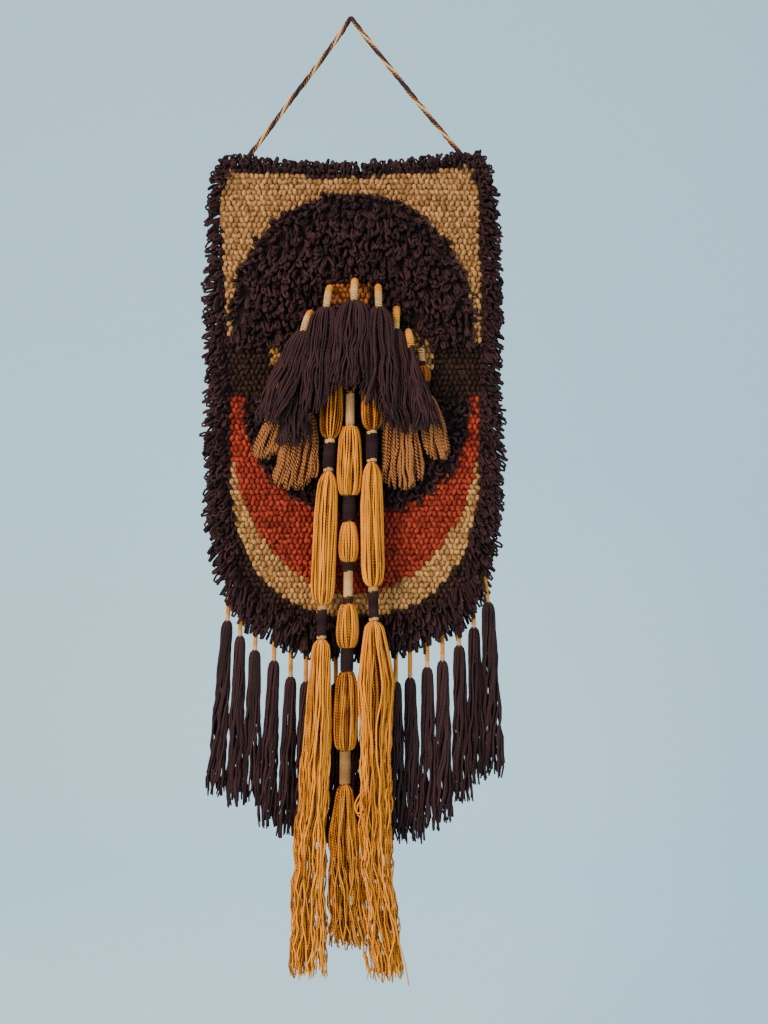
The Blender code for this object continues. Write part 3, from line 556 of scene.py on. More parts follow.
def zone(x, drop):
    """Which pile a place of the canvas has."""
    left = np.interp(drop, *zip(*LEFT_SIDE))
    right = np.interp(drop, *zip(*RIGHT_SIDE))
    in_field = left < x < right if drop < FIELD_START else in_round(FIELD_END, x, drop)
    if not in_field or drop < top_edge(x) + FIELD_TOP:
        return "olive" if drop > ROUND_START and in_canvas(x, drop, OLIVE_MARGIN) else "rim"
    from_arch = math.hypot(x - ARCH_CENTRE[0], drop - ARCH_CENTRE[1])
    if from_arch < ARCH_OUTER and drop < ARCH_LOWEST:
        if from_arch < ARCH_INNER:
            return "brown"
        if abs(x) < RUST_REACH:
            return "rust"
        if drop > ARCH_ENDS[0 if x < 0 else 1]:
            return "tan"
        return "dome"
    if drop < DOME_LOWEST:
        return "dome" if in_round(DOME, x, drop) else "beige"
    if drop < INNER_TOP:
        return "olive"
    if in_round(INNER_END, x, drop):
        return "inner"
    return "orange" if drop < FIELD_START or in_round(ORANGE_END, x, drop) else "cream"


def in_canvas(x, drop, margin):
    """Whether a place is on the canvas, a margin from its edge."""
    draw = LEFT_DRAW if x < CENTRE_X else RIGHT_DRAW
    inside = abs(x - CENTRE_X) < side_reach(drop, draw) - margin
    return inside and top_edge(x) + margin < drop < bottom_edge(x) - margin


def staggered(across, down, rng, jitter):
    """Places of a staggered grid over the canvas, each a little off its own."""
    places = []
    for row, drop in enumerate(np.arange(RIGHT_CORNER_DROP, ROUND_START + ROUND_DEPTH, down)):
        for x in np.arange(CENTRE_X - HALF_WIDTH - across, CENTRE_X + HALF_WIDTH + across, across):
            places.append((x + (row % 2) * across / 2, drop))
    places = np.array(places)
    return places + rng.normal(0.0, jitter, places.shape)


PILE = {
    "beige": ("beige_yarn", wool("beige_wool", "#643c1b", "#c0905c", rough=0.95)),
    "cream": ("beige_yarn", wool("crescent_wool", "#6a421d", "#cc9b60", rough=0.95)),
    "orange": ("orange_yarn", wool("orange_wool", "#4c120b", "#a83d2a", rough=0.95)),
    "rust": ("rust_yarn", wool("rust_wool", "#5a2a10", "#ae6a36", rough=0.95)),
    "tan": ("tan_yarn", wool("arch_end_wool", "#6e451d", "#c8985a", rough=0.95)),
    "olive": ("panel_pile", wool("olive_wool", "#110908", "#39251d", rough=0.95)),
    "brown": ("panel_pile", BROWN),
}
PILE_WOOLS = [material for _, material in PILE.values()]


def pile_number(x, drop):
    """The number of a place's wool in the low pile, which is brown under the shag."""
    kind = zone(x, drop)
    return list(PILE).index(kind if kind in PILE else "brown")


def low_loops(places, rng):
    """Lines of short loops, one at each place, and the directions across them."""
    count = len(places)
    turn = rng.normal(0.12, 0.55, count)
    span = LOOP_SPAN * rng.uniform(0.85, 1.15, count)
    rise = LOOP_RISE * rng.uniform(0.8, 1.2, count)
    t = np.linspace(0.0, np.pi, LOOP_POINTS)
    down = -np.cos(t) * span[:, None]
    out = CANVAS_FRONT - LOOP_SINK + np.sin(t) * rise[:, None]
    x = places[:, 0, None] + down * np.sin(turn)[:, None]
    drop = places[:, 1, None] + down * np.cos(turn)[:, None]
    across = np.stack((np.cos(turn), np.zeros(count), -np.sin(turn)), axis=1)
    return np.stack((x, out, drop), axis=2), across[:, None]


def make_low_pile():
    rng = np.random.default_rng(3)
    places = staggered(PILE_ACROSS, PILE_DOWN, rng, PILE_JITTER)
    zones = np.array([zone(*place) if in_canvas(*place, PILE_MARGIN) else "" for place in places])
    zones[zones == "rim"] = "brown"
    made = []
    for colour, (slot, material) in PILE.items():
        own = places[zones == colour]
        lines, across = low_loops(own, rng)
        tint = rng.uniform(0.15, 0.85, len(own))
        made.append(yarn(f"{colour}_pile", lines, LOOP_RADIUS, [material], facing=across, tint=tint))
    return made


def make_knots():
    """What the back shows of the hooking: a short bar of wool behind each loop."""
    rng = np.random.default_rng(4)
    places = staggered(PILE_ACROSS, PILE_DOWN, rng, KNOT_JITTER)
    places = np.array([place for place in places if in_canvas(*place, KNOT_MARGIN)])
    picks = [pile_number(*place) for place in places]
    t = np.linspace(-1.0, 1.0, 3)
    x = places[:, 0, None] + KNOT_HALF * t
    depth = KNOT_DEPTH + KNOT_BEND * t**2 + np.zeros(x.shape)
    drop = places[:, 1, None] + rng.normal(0.0, KNOT_JITTER, (len(places), 1)) * t
    lines = np.stack((x, depth, drop), axis=2)
    tint = rng.uniform(0.3, 0.9, len(places))
    upright = (0.0, 0.0, 1.0)
    return yarn("knot_backs", lines, KNOT_RADIUS, PILE_WOOLS, 3, upright, tint, picks)


low_pile = make_low_pile()
knots = make_knots()

# The matted feet of the pile: the lower half of every loop, pressed together on the canvas, in the
# colours of the loops above.
FEET_HEIGHT = 4.6
FEET_SWELL = (0.9, 4.0)
FEET_SINK = 0.6
FEET_EDGE = 1.5
FEET_MESH = 6.0

pile_feet = filled(
    "pile_feet",
    inward(canvas_outline(OUTLINE_POINTS), FEET_EDGE),
    FEET_MESH,
    lambda x, drop: CANVAS_FRONT - FEET_SINK,
    lambda x, drop: FEET_HEIGHT + swell(x, drop, *FEET_SWELL),
    PILE_WOOLS,
    pile_number,
)

# The shag: long uncut loops of thinner brown wool. They fill the half-round, surround the canvas
# and cover the middle of the crescents, and they droop under their own weight.
SHAG_POINTS = 8
SHAG_CURL = 0.55
SHAG_DROOP = 0.012
SHAG_CLEAR = 1.65
DOME_RADIUS = 1.55
DOME_ACROSS = 3.7
DOME_DOWN = 7.4
DOME_EDGE = 0.9
ARCH_ROOM = 12.0
INNER_RADIUS = 1.65
INNER_ACROSS = 7.8
INNER_DOWN = 6.9
RIM_RADIUS = 1.25
RIM_ROWS = (0.6, 2.0, 3.6, 5.6, 8.4, 12.0, 16.0, 20.5, 25.0)
RIM_LOOPS = 375
RIM_FEWER = 14
CORNER_X = 135.0
CORNER_WIDTH = 40.0
CORNER_REACH = 55.0
SIDE_X = 100.0
SIDE_GAIN = 1.2


def shag(name, places, aims, lengths, widths, radius, lightest, rng):
    """Long loops: each leaves its place along its aim, opens, and comes back."""
    count = len(places)
    roots = np.stack((places[:, 0], np.full(count, CANVAS_FRONT), places[:, 1]), axis=1)
    widths = rng.uniform(*widths, count)
    aims = unit(aims)
    spread = rng.normal(size=(count, 3))
    spread = unit(spread - aims * (spread * aims).sum(axis=1, keepdims=True))
    across = np.cross(aims, spread)
    t = np.linspace(0.0, 1.0, SHAG_POINTS)
    out = lengths[:, None] * np.sin(np.pi * t)
    wide = widths[:, None] * np.sin(2 * np.pi * t)
    phase = rng.uniform(0, 6, count)[:, None]
    curl = SHAG_CURL * widths[:, None] * np.sin(np.pi * t) * np.sin(2.4 * np.pi * t + phase)
    lines = roots[:, None] + aims[:, None] * out[..., None] + spread[:, None] * wide[..., None]
    lines += across[:, None] * curl[..., None]
    lines[..., 2] += SHAG_DROOP * out**2
    lines[..., 1] = np.maximum(lines[..., 1], SHAG_CLEAR)
    tint = rng.uniform(0.0, lightest, count)
    return yarn(name, lines, radius, [BROWN], facing=across[:, None], tint=tint)


def make_dome():
    """Shag of the half-round, which leaves room for the arch."""
    rng = np.random.default_rng(11)
    places = staggered(DOME_ACROSS, DOME_DOWN, rng, 0.7)
    places = [place for place in places if in_canvas(*place, PILE_MARGIN) and zone(*place) == "dome"]
    places = np.array(places)
    count = len(places)
    aims = np.stack((rng.normal(0.0, 0.55, count), np.ones(count), rng.normal(0.85, 0.4, count)), axis=1)
    lengths = rng.uniform(11.0, 18.0, count)
    from_middle = (places - (DOME[0], DOME[1])) / (DOME[2], DOME[3])
    at_edge = (np.hypot(*from_middle.T) > DOME_EDGE) & (places[:, 1] < DOME[1])
    aims[at_edge, 0] += 0.5 * from_middle[at_edge, 0]
    aims[at_edge, 2] = rng.normal(0.35, 0.5, at_edge.sum())
    lengths[at_edge] *= 0.8
    above_arch = np.hypot(*(places - ARCH_CENTRE).T) < ARCH_OUTER + ARCH_ROOM
    above_arch &= np.abs(places[:, 0]) < RUST_REACH + ARCH_ROOM
    lengths[above_arch] *= 0.55
    aims[above_arch, 2] = 0.0
    return shag("dome_shag", places, aims, lengths, (1.3, 2.3), DOME_RADIUS, 0.8, rng)


def make_inner_shag():
    """Shorter shag between the arch and the crescents, mostly behind the tassels."""
    rng = np.random.default_rng(12)
    places = staggered(INNER_ACROSS, INNER_DOWN, rng, 0.9)
    places = np.array([place for place in places if zone(*place) == "inner"])
    count = len(places)
    aims = np.stack((rng.normal(0.0, 0.35, count), np.ones(count), rng.normal(0.5, 0.25, count)), axis=1)
    lengths = rng.uniform(7.5, 10.5, count)
    return shag("inner_shag", places, aims, lengths, (2.4, 3.6), INNER_RADIUS, 0.6, rng)


def make_rim():
    """Shag round the canvas: rows of loops from the field's edge to the canvas's own edge."""
    rng = np.random.default_rng(13)
    places, aims, lengths = [], [], []
    for row, reach in enumerate(RIM_ROWS):
        ring = inward(canvas_outline(RIM_LOOPS - RIM_FEWER * row), reach)
        for (x, drop), (along_x, along_drop) in zip(ring, edge_steps(ring)):
            if zone(x, drop) != "rim" or (row > 4 and rng.random() < 0.3):
                continue
            outward = np.array((along_drop, -along_x))
            at_top = outward[1] < -0.7
            lean = 1.0 - 0.11 * row
            aim = np.array((outward[0] * lean, 0.3 + 0.2 * row, outward[1] * lean))
            aim += rng.normal(0.0, 0.22, 3)
            length = rng.uniform(9.5, 15.0)
            if at_top:
                aim[2] *= 0.85
                length = rng.uniform(8.0, 15.5)
            else:
                aim[2] += rng.uniform(0.2, 0.75)
                length *= np.interp(outward[1], (0.15, 0.6), (1.0, 1.5))
            corner = (drop - RIGHT_CORNER_DROP) / CORNER_REACH
            corner += min(1.0, abs(CORNER_X - abs(x)) / CORNER_WIDTH)
            gain = SIDE_GAIN if abs(x) > SIDE_X else 1.0
            length *= (0.45 + 0.55 * np.clip(corner, 0.0, 1.0)) * gain
            places.append((x + rng.normal(0, 0.6), drop + rng.normal(0, 0.6)))
            aims.append(aim)
            lengths.append(length)
    places, aims, lengths = np.array(places), np.array(aims), np.array(lengths)
    return shag("rim_shag", places, aims, lengths, (1.3, 2.6), RIM_RADIUS, 0.9, rng)


dome_shag = make_dome()
inner_shag = make_inner_shag()
rim_shag = make_rim()
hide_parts("pile_panel")

# The arch's tassels: seven stems, wound with ochre wool above and cream below, leave the pile and
# bend down, and a bundle of brown strands hangs from each. Their strands gather in loose locks.
ARCH_STEM_RADIUS = 3.9
ARCH_WINDING = 1.0
BROWN_STRAND = 0.92
BROWN_TASSELS = [
    (-53.8, 342.2, -55.8, 360.8, -59.7, 447.6, 31.0, 31.0, 15.0),
    (-41.0, 308.0, -47.7, 331.1, -83.8, 427.1, 42.0, 44.0, 16.0),
    (-21.1, 281.9, -24.0, 307.1, -35.4, 416.0, 43.0, 44.0, 18.0),
    (4.6, 275.0, 4.1, 300.7, -1.6, 388.8, 46.0, 50.5, 17.8),
    (28.7, 280.9, 29.2, 307.1, 31.2, 414.0, 43.0, 44.5, 17.0),
    (47.7, 303.2, 46.7, 328.0, 53.5, 436.1, 34.0, 34.0, 15.0),
    (59.5, 327.3, 62.3, 346.6, 79.7, 433.3, 42.0, 43.0, 12.5),
]
FULLNESS = (0.6, 0.75, 0.85, 1.0, 0.85, 0.5, -1.0)
OCHRE_SHARES = (0.65, 0.65, 0.68, 0.68, 0.68, 0.84, 1.0)
HEM_SLANTS = (0.0, 0.0, 0.17, 0.0, -0.15, 0.0, 0.0)
HEAD_SHAPE = [
    (-0.015, 0.2, 0.25, 0.3), (0.01, 0.38, 0.5, 0.62), (0.05, 0.46, 0.72, 0.85),
    (0.12, 0.55, 0.9, 1.0), (0.24, 0.68, 0.98, 1.0), (0.5, 0.85, 1.0, 1.0), (0.76, 0.96, 1.02, 1.0),
    (1.0, 1.04, 1.04, 1.0),
]
STEM_SEAT = 5.0
STEM_POINTS = 16
SKIRT_DEPTH = 6.5
WINDING_PRESS = 1.06
TINT_STEP = 30
GOLDEN_ANGLE = 2.399963
OUTER_SHARE = 0.65
SWAY_WAVES = ((64.0, 0.5, 0.9), (31.0, 0.5, 0.45), (15.0, 0.22, 0.0))


def coil(line, radius, yarn_radius, steps=8):
    """The line of one strand that is wound round another line, each turn touching the next."""
    turns = max(2, round(length_of(line) / (2 * yarn_radius)))
    centre = evenly(line, turns * steps + 1)
    along = unit(np.gradient(centre, axis=0))
    side = unit(np.cross(along, (1.0, 0.3, 0.2)))
    front = np.cross(side, along)
    angle = 2 * np.pi * np.arange(len(centre)) / steps
    reach = np.full(len(centre), radius - yarn_radius)
    return centre + reach[:, None] * (np.cos(angle)[:, None] * side + np.sin(angle)[:, None] * front)


def wound(name, line, radius, yarn_radius, materials, seed, change=None, shade=0.0):
    """A winding round a line. Past change, a share of its length, it goes on in the second wool."""
    rng = np.random.default_rng(seed)
    turns = coil(line, radius, yarn_radius)
    axis = line[-1] - line[0]
    marks = np.arange(0, len(turns) + TINT_STEP, TINT_STEP)
    tint = shade + np.interp(np.arange(len(turns)), marks, rng.uniform(0.3, 0.8, len(marks)))[None]
    pick = None
    if change is not None:
        pick = (np.arange(len(turns) - 1) > change * len(turns)).astype(int)[None]
    facing = axis / np.linalg.norm(axis)
    radius = yarn_radius * WINDING_PRESS
    return yarn(name, [turns], radius, materials, facing=facing, tint=tint, pick=pick)


def fan(rows, strands, yarn_radius, rng, sway, ragged, step, twist=0.0, locks=7, flare=0.0, hem=(0.0, 0.0)):
    """Lines of a tassel's strands, from its neck to its hem, with a point about every step.

    Each row is (drop, x, depth, half width, half depth). Strands keep their place round the bundle
    and in it, wave more towards the hem, and gather in locks, which part by the flare at the hem.
    hem says by what shares the strands at both sides, and those at the right one, are shorter. A
    sway wave has its length, and how far it moves a strand on its own and with its lock.
    """
    rows = np.asarray(rows, float)
    number = np.arange(strands)
    angle = (number * GOLDEN_ANGLE + rng.normal(0.0, 0.1, strands)) % (2 * np.pi)
    share = np.where(number < OUTER_SHARE * strands, 1.0, np.sqrt(rng.uniform(0.05, 0.8, strands)))
    lock = (angle / (2 * np.pi) * locks).astype(int) % locks
    span = rows[-1, 0] - rows[0, 0]
    t = np.linspace(0.0, 1.0, max(4, round(span / step) + 1)) ** 1.3
    short = 1 - ragged * rng.uniform(0.0, 1.0, strands) ** 2
    short -= hem[0] * (np.cos(angle) * share) ** 2 + hem[1] * np.cos(angle) * share
    drop = rows[0, 0] + span * t * short[:, None]
    x, depth, wide, deep = (np.interp(drop, rows[:, 0], rows[:, k]) for k in range(1, 5))
    gathered = (lock + 0.5) * 2 * np.pi / locks - angle
    turned = angle[:, None] + twist * t + 0.35 * t**2 * gathered[:, None]
    loose = np.minimum(1.0, 2.2 * t) * (0.4 + 0.6 * t) * sway
    waves = []
    for _ in range(2):
        wave = np.zeros(drop.shape)
        for length, own, shared in SWAY_WAVES:
            turns = 2 * np.pi * drop / length
            wave += own * np.sin(turns + rng.uniform(0, 6.3, (strands, 1)))
            wave += shared * np.sin(turns + rng.uniform(0, 6.3, (locks, 1))[lock])
        parted = flare * rng.normal(0.0, 1.0, (locks, 1))[lock] * np.maximum(0.0, t - 0.5) ** 2 * 4
        waves.append(loose * wave + parted)
    x = x + np.cos(turned) * share[:, None] * np.maximum(wide - yarn_radius, 0.3) + waves[0]
    depth = depth + np.sin(turned) * share[:, None] * np.maximum(deep - yarn_radius, 0.3)
    depth = np.maximum(depth + 0.5 * waves[1], yarn_radius + 0.3)
    return np.stack((x, depth, drop), axis=2)


def stem_line(row):
    """The bend from the pile to the head of a hung tassel."""
    root_x, root_drop, head_x, head_drop = row[:4]
    depth = row[6]
    root = np.array((root_x, STEM_SEAT, root_drop))
    corner = np.array((root_x, depth, root_drop))
    head = np.array((head_x, depth, head_drop))
    t = np.linspace(0.0, 1.0, STEM_POINTS)[:, None]
    return root * (1 - t) ** 2 + 2 * corner * t * (1 - t) + head * t**2


def hung_rows(row, stem, full):
    """Rows for the strands of a hung tassel: a rounded head, then a skirt, full or narrow."""
    _, _, head_x, head_drop, hem_x, hem_drop, depth, hem_depth, half = row
    rows = []
    for share, narrow, wide, deep in HEAD_SHAPE:
        drop = head_drop + (hem_drop - head_drop) * share
        x = head_x + (hem_x - head_x) * share
        middle = depth + (hem_depth - depth) * share
        reach = max((narrow + (wide - narrow) * full) * half, stem * 0.6)
        rows.append((drop, x, middle, reach, deep * SKIRT_DEPTH))
    return rows


def make_arch():
    for number, row in enumerate(BROWN_TASSELS, 1):
        rng = np.random.default_rng(200 + number)
        wools = [OCHRE, CREAM]
        change = OCHRE_SHARES[number - 1]
        name = f"arch_stem_{number}"
        wound(name, stem_line(row), ARCH_STEM_RADIUS, ARCH_WINDING, wools, number, change)
        strands = int(40 + 1.9 * row[-1])
        rows = hung_rows(row, ARCH_STEM_RADIUS, FULLNESS[number - 1])
        hem = (0.04, HEM_SLANTS[number - 1])
        lines = fan(rows, strands, BROWN_STRAND, rng, sway=1.6, ragged=0.24, step=5.2, flare=3.2, hem=hem)
        tint = rng.uniform(0.05, 0.95, strands)
        name = f"arch_tassel_{number}"
        tassel = yarn(f"{name}_strands", lines, BROWN_STRAND, [BROWN], tint=tint)
        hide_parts(name)


make_arch()

# The tan tassels: chunky two-ply wool, four bundles that hang behind the brown ones on cream-wound
# stems with a small bulb each, two on each side.
TAN_TASSELS = [
    (-69.7, 353.9, -72.7, 403.3, -90.6, 460.7, 15.5, 16.5, 14.5),
    (-45.0, 363.9, -49.0, 411.3, -58.3, 492.3, 16.0, 17.0, 22.5),
    (45.9, 362.0, 49.8, 409.4, 55.2, 492.3, 16.5, 17.0, 22.5),
    (73.5, 348.1, 78.5, 393.5, 92.3, 460.7, 16.0, 16.5, 14.5),
]
TAN_STEM_RADIUS = 3.6
TAN_STRAND = 1.5
TAN_WINDING = 1.0
TAN_NECK_RADIUS = 4.2
TAN_HEM = (0.16, 0.0)
TAN_BULB = (0.30, 0.70, 7.4)
BULB_STRAND = 1.2
BULB_STRANDS = 22
BULB_SHAPE = [(0.0, 0.5), (0.15, 0.8), (0.35, 1.0), (0.6, 1.0), (0.85, 0.8), (1.0, 0.45)]
BULB = wool("bulb_wool", "#3a1504", "#b5652a")


def rows_along(top, bottom, shape, half, flat):
    """Rows for a fan between two places, where shape gives its width at shares of the way."""
    rows = []
    for share, wide in shape:
        x, depth, drop = top + (bottom - top) * share
        rows.append((drop, x, depth, wide * half, wide * half * flat))
    return rows


def make_tan():
    first, last, bulge = TAN_BULB
    for number, row in enumerate(TAN_TASSELS, 1):
        rng = np.random.default_rng(300 + number)
        root_x, root_drop, head_x, head_drop, _, _, depth, _, half = row
        start = np.array((root_x, STEM_SEAT, root_drop - 1.5))
        neck = np.array((root_x, depth, root_drop + 1.5))
        head = np.array((head_x, depth, head_drop))
        upper = neck + (head - neck) * first
        lower = neck + (head - neck) * last
        line = spline([start, (start + neck) / 2 + (0, 2, -1.5), neck, upper], 5)
        wools = [CREAM, BROWN]
        wound(f"tan_stem_{number}", line, TAN_STEM_RADIUS, TAN_WINDING, wools, 70 + number, 0.8)
        rows = rows_along(upper, lower, BULB_SHAPE, bulge, 0.95)
        lines = fan(rows, BULB_STRANDS, BULB_STRAND, rng, sway=0.1, ragged=0.0, step=2.0)
        tint = rng.uniform(0.2, 0.8, BULB_STRANDS)
        yarn(f"tan_bulb_{number}", lines, BULB_STRAND, [BULB], tint=tint)
        line = np.array((lower, head + (0, 0, 1.5)))
        wound(f"tan_neck_{number}", line, TAN_NECK_RADIUS, TAN_WINDING, [BROWN], 90 + number)
        strands = int(19 + 1.25 * half)
        rows = hung_rows(row, TAN_STEM_RADIUS, 0.4)
        rows[-1] = (*rows[-1][:3], 0.85 * rows[-1][3], rows[-1][4])
        lines = fan(rows, strands, TAN_STRAND, rng, 1.0, 0.06, 3.0, 0.3, locks=9, flare=1.6, hem=TAN_HEM)
        tint = rng.uniform(0.1, 1.0, strands)
        name = f"tan_tassel_{number}"
        tassel = yarn(f"{name}_strands", lines, TAN_STRAND, [TAN], sides=7, tint=tint)
        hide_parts(name)


make_tan()

# The hanks: three bundles of gold wool. Windings bind each one at intervals, so that it swells into
# bulbs between them, and below the last one it hangs loose. A taper of 1 gives bulbs long ends.
HANKS = {
    "left": {
        "seed": 401,
        "taper": 1.0,
        "root": (-17.0, 352.0),
        "bulbs": [(-19.0, 368.6, 438.9, 11.8), (-26.6, 473.3, 609.5, 12.5)],
        "tassel": [(-29.3, 644.5, 9.3), (-32.7, 729.2, 14.1), (-42.5, 870.8, 16.6), (-44.6, 991.3, 19.5)],
        "bindings": [
            ("cream", 439.4, 443.5, 5.6),
            ("brown", 443.8, 468.9, 6.8),
            ("cream", 469.2, 472.8, 5.6),
            ("cream", 610.0, 614.2, 5.4),
            ("brown", 614.5, 640.8, 5.6),
            ("cream", 641.1, 644.0, 5.4),
        ],
    },
    "centre": {
        "seed": 402,
        "taper": 0.45,
        "root": (0.0, 377.0),
        "bulbs": [
            (-0.8, 425.6, 497.4, 12.6),
            (-1.6, 524.3, 565.7, 10.3),
            (-2.5, 608.5, 653.2, 11.5),
            (-4.4, 677.5, 757.5, 12.1),
        ],
        "tassel": [(-5.4, 792.6, 8.8), (-6.9, 841.5, 15.1), (-4.5, 910.0, 18.0), (-1.1, 960.9, 20.5)],
        "bindings": [
            ("cream", 392.2, 425.2, 5.0),
            ("brown", 497.9, 523.8, 7.2),
            ("brown", 566.2, 574.8, 7.0),
            ("cream", 575.1, 601.1, 5.2),
            ("brown", 601.4, 608.0, 6.2),
            ("brown", 653.7, 677.0, 7.2),
            ("cream", 757.9, 792.1, 6.0),
        ],
    },
    "right": {
        "seed": 403,
        "taper": 1.0,
        "root": (20.0, 352.0),
        "bulbs": [(22.2, 368.6, 430.1, 11.4), (21.8, 463.5, 590.7, 12.1)],
        "tassel": [
            (24.3, 626.2, 10.7),
            (26.3, 688.0, 20.0),
            (26.1, 753.9, 15.6),
            (25.7, 870.8, 17.1),
            (36.9, 993.3, 19.0),
        ],
        "bindings": [
            ("cream", 430.6, 434.1, 5.6),
            ("brown", 434.4, 459.5, 6.8),
            ("cream", 459.8, 463.0, 5.6),
            ("cream", 591.2, 595.6, 5.4),
            ("brown", 595.9, 622.1, 5.6),
            ("cream", 622.4, 625.7, 5.4),
        ],
    },
}
# The first centre winding gets painted shade, as it lies in shade; the lowest is of a darker wool.
SHADED_AND_DARKER_WINDINGS = {("centre", 1): -0.3, ("centre", 7): -0.6}
HANK_DEPTHS = [(363.0, 23.0), (450.0, 24.0), (600.0, 33.0), (690.0, 35.0), (1010.0, 31.0)]
BULB_TOP = [(0.0, 0.3), (1.5, 0.46), (4.5, 0.63), (9.0, 0.8), (14.0, 0.9), (25.0, 0.96), (45.0, 1.0)]
BULB_FOOT = [(0.0, 0.35), (1.0, 0.5), (2.6, 0.67), (5.0, 0.82), (8.5, 0.91), (14.0, 0.97), (22.0, 1.0)]
BULB_SWELL = [(0.0, 0.9), (0.3, 0.97), (0.6, 1.04), (0.8, 1.02), (1.0, 0.96)]
TASSEL_TOP = [(0.0, 0.0), (2.0, 0.6), (6.0, 0.93), (12.0, 1.06)]
CORE_FOOT = [(45.0, 0.95), (120.0, 0.75), (145.0, 0.3)]
CORE_SIDES = 12
CORE_PAINTED_SHADE = -0.7
NECK = 3.0
GOLD_STRAND = 0.84
HANK_STRANDS = 48
HANK_STEP = 8.0
INNER_EVERY = 6
LOOSE_STRANDS = 44
LOOSE_DEPTH = 0.62
BINDING_YARN = 0.75
# The gold wool gets the strongest painted shade at its strands' sides.
GOLD = wool("gold_wool", "#481503", "#ffa02b", turn=0.006, painted_ply_shade=0.35, edge=0.5)


def hank_x(hank, drop):
    rows = [hank["root"][::-1]]
    rows += [((top + bottom) / 2, x) for x, top, bottom, _ in hank["bulbs"]]
    rows += [(row_drop, x) for x, row_drop, _ in hank["tassel"]]
    return np.interp(drop, *zip(*rows))


def hank_depth(drop):
    return np.interp(drop, *zip(*HANK_DEPTHS))


def hank_rows(hank):
    """(drop, radius) rows down a hank, with necks under its bindings and bulbs between them."""
    rows = [(hank["root"][1] + 13.0, NECK)]
    for _, top, bottom, radius in hank["bulbs"]:
        drops = [top + down for down, _ in BULB_TOP] + [bottom - up for up, _ in BULB_FOOT]
        for drop in sorted(drop for drop in drops if top <= drop <= bottom):
            wide = min(np.interp(drop - top, *zip(*BULB_TOP)), np.interp(bottom - drop, *zip(*BULB_FOOT)))
            if top < drop < bottom:
                wide = wide ** hank["taper"] * np.interp((drop - top) / (bottom - top), *zip(*BULB_SWELL))
            rows.append((drop, max(NECK, wide * radius)))
    start, half = hank["tassel"][0][1:]
    rows += [(start + down, max(NECK, share * half)) for down, share in TASSEL_TOP]
    rows += [(drop, half) for _, drop, half in hank["tassel"][1:]]
    return rows


def hank_tint(side, drop, rng, strands):
    """Shades of a hank's strands: the side hanks get painted shade behind the arch, and the centre one is
    darker towards its end.
    """
    own = rng.uniform(-0.25, 1.15, strands)[:, None]
    if side != "centre":
        # Painted shade: the side hanks' strands are darkened where they lie behind the arch, down to where
        # they come out below it.
        return own - np.interp(drop, (430.0, 475.0), (0.6, 0.0))
    return 0.4 * own + 0.18 - np.interp(drop, (560.0, 620.0, 670.0, 800.0), (0.0, 0.05, 0.4, 0.28))


def make_hank(side, hank):
    rng = np.random.default_rng(hank["seed"])
    rows = hank_rows(hank)
    start, end = hank["tassel"][0][1], rows[-1][0]
    drops = np.array(sorted({round(drop, 1) for drop, _ in rows} | set(np.arange(start, end, HANK_STEP))))
    radius = np.interp(drops, *zip(*rows))
    in_tassel = np.clip((drops - start) / (end - start), 0.0, 1.0)
    number = np.arange(HANK_STRANDS)
    wander = rng.uniform(0.04, 0.15, (HANK_STRANDS, 1))
    rise = rng.uniform(0.95, 1.04, (HANK_STRANDS, 1))
    angle = 2 * np.pi * number / HANK_STRANDS + rng.normal(0.0, 0.035, HANK_STRANDS)
    phase = rng.uniform(0, 2 * np.pi, (3, HANK_STRANDS, 1))
    turned = angle[:, None] + wander * np.sin(drops / 19.0 + phase[0])
    turned += 0.4 * in_tassel * np.sin(drops / 57.0 + phase[1])
    inner = (number % INNER_EVERY == INNER_EVERY - 1)[:, None]
    drawn = np.where(inner, 0.92 - 0.52 * np.clip(6 * in_tassel, 0.0, 1.0), 1.0)
    share = rise * drawn * (1 - in_tassel * rng.uniform(0.0, 0.6, (HANK_STRANDS, 1)))
    reach = share * np.maximum(radius - GOLD_STRAND, 1.0)
    flat = 1 - 0.35 * in_tassel
    sway = 2.0 * in_tassel * (np.sin(drops / 14.0 + phase[2]) + 0.6 * np.sin(drops / 6.5 + phase[0]))
    x = hank_x(hank, drops) + np.cos(turned) * reach + sway
    depth = hank_depth(drops) + np.sin(turned) * reach * flat
    drop = drops - in_tassel * rng.uniform(0.0, 12.0, (HANK_STRANDS, 1))
    lines = np.stack((x, depth, drop), axis=2)
    tint = hank_tint(side, drop, rng, HANK_STRANDS)
    piece = yarn(f"hank_{side}_strands", lines, GOLD_STRAND, [GOLD], tint=tint)
    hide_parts(f"hank_{side}")
    make_core(side, hank)
    make_loose_end(side, hank)


def make_core(side, hank):
    """The strands inside a hank and the top of its tassel, as one core under the outer ones."""
    start, half = hank["tassel"][0][1:]
    rows = [row for row in hank_rows(hank) if row[0] <= start + TASSEL_TOP[-1][0]]
    rows += [(start + down, share * half) for down, share in CORE_FOOT]
    drops, radius = np.array(rows).T
    line = np.stack((hank_x(hank, drops), hank_depth(drops), drops), axis=1)
    # Painted shade: the core takes the gold's darkest colour, for the shade seen between the outer strands.
    core = yarn(f"hank_{side}_core", [line], 1.0, [GOLD], CORE_SIDES, tint=[CORE_PAINTED_SHADE])
    places = np.array([v.co for v in core.data.vertices]).reshape(len(rows), CORE_SIDES, 3)
    middle = metres(line)[:, None]
    places = middle + (places - middle) * np.maximum(radius - 2.2 * GOLD_STRAND, 0.6)[:, None, None]
    core.data.vertices.foreach_set("co", places.ravel())


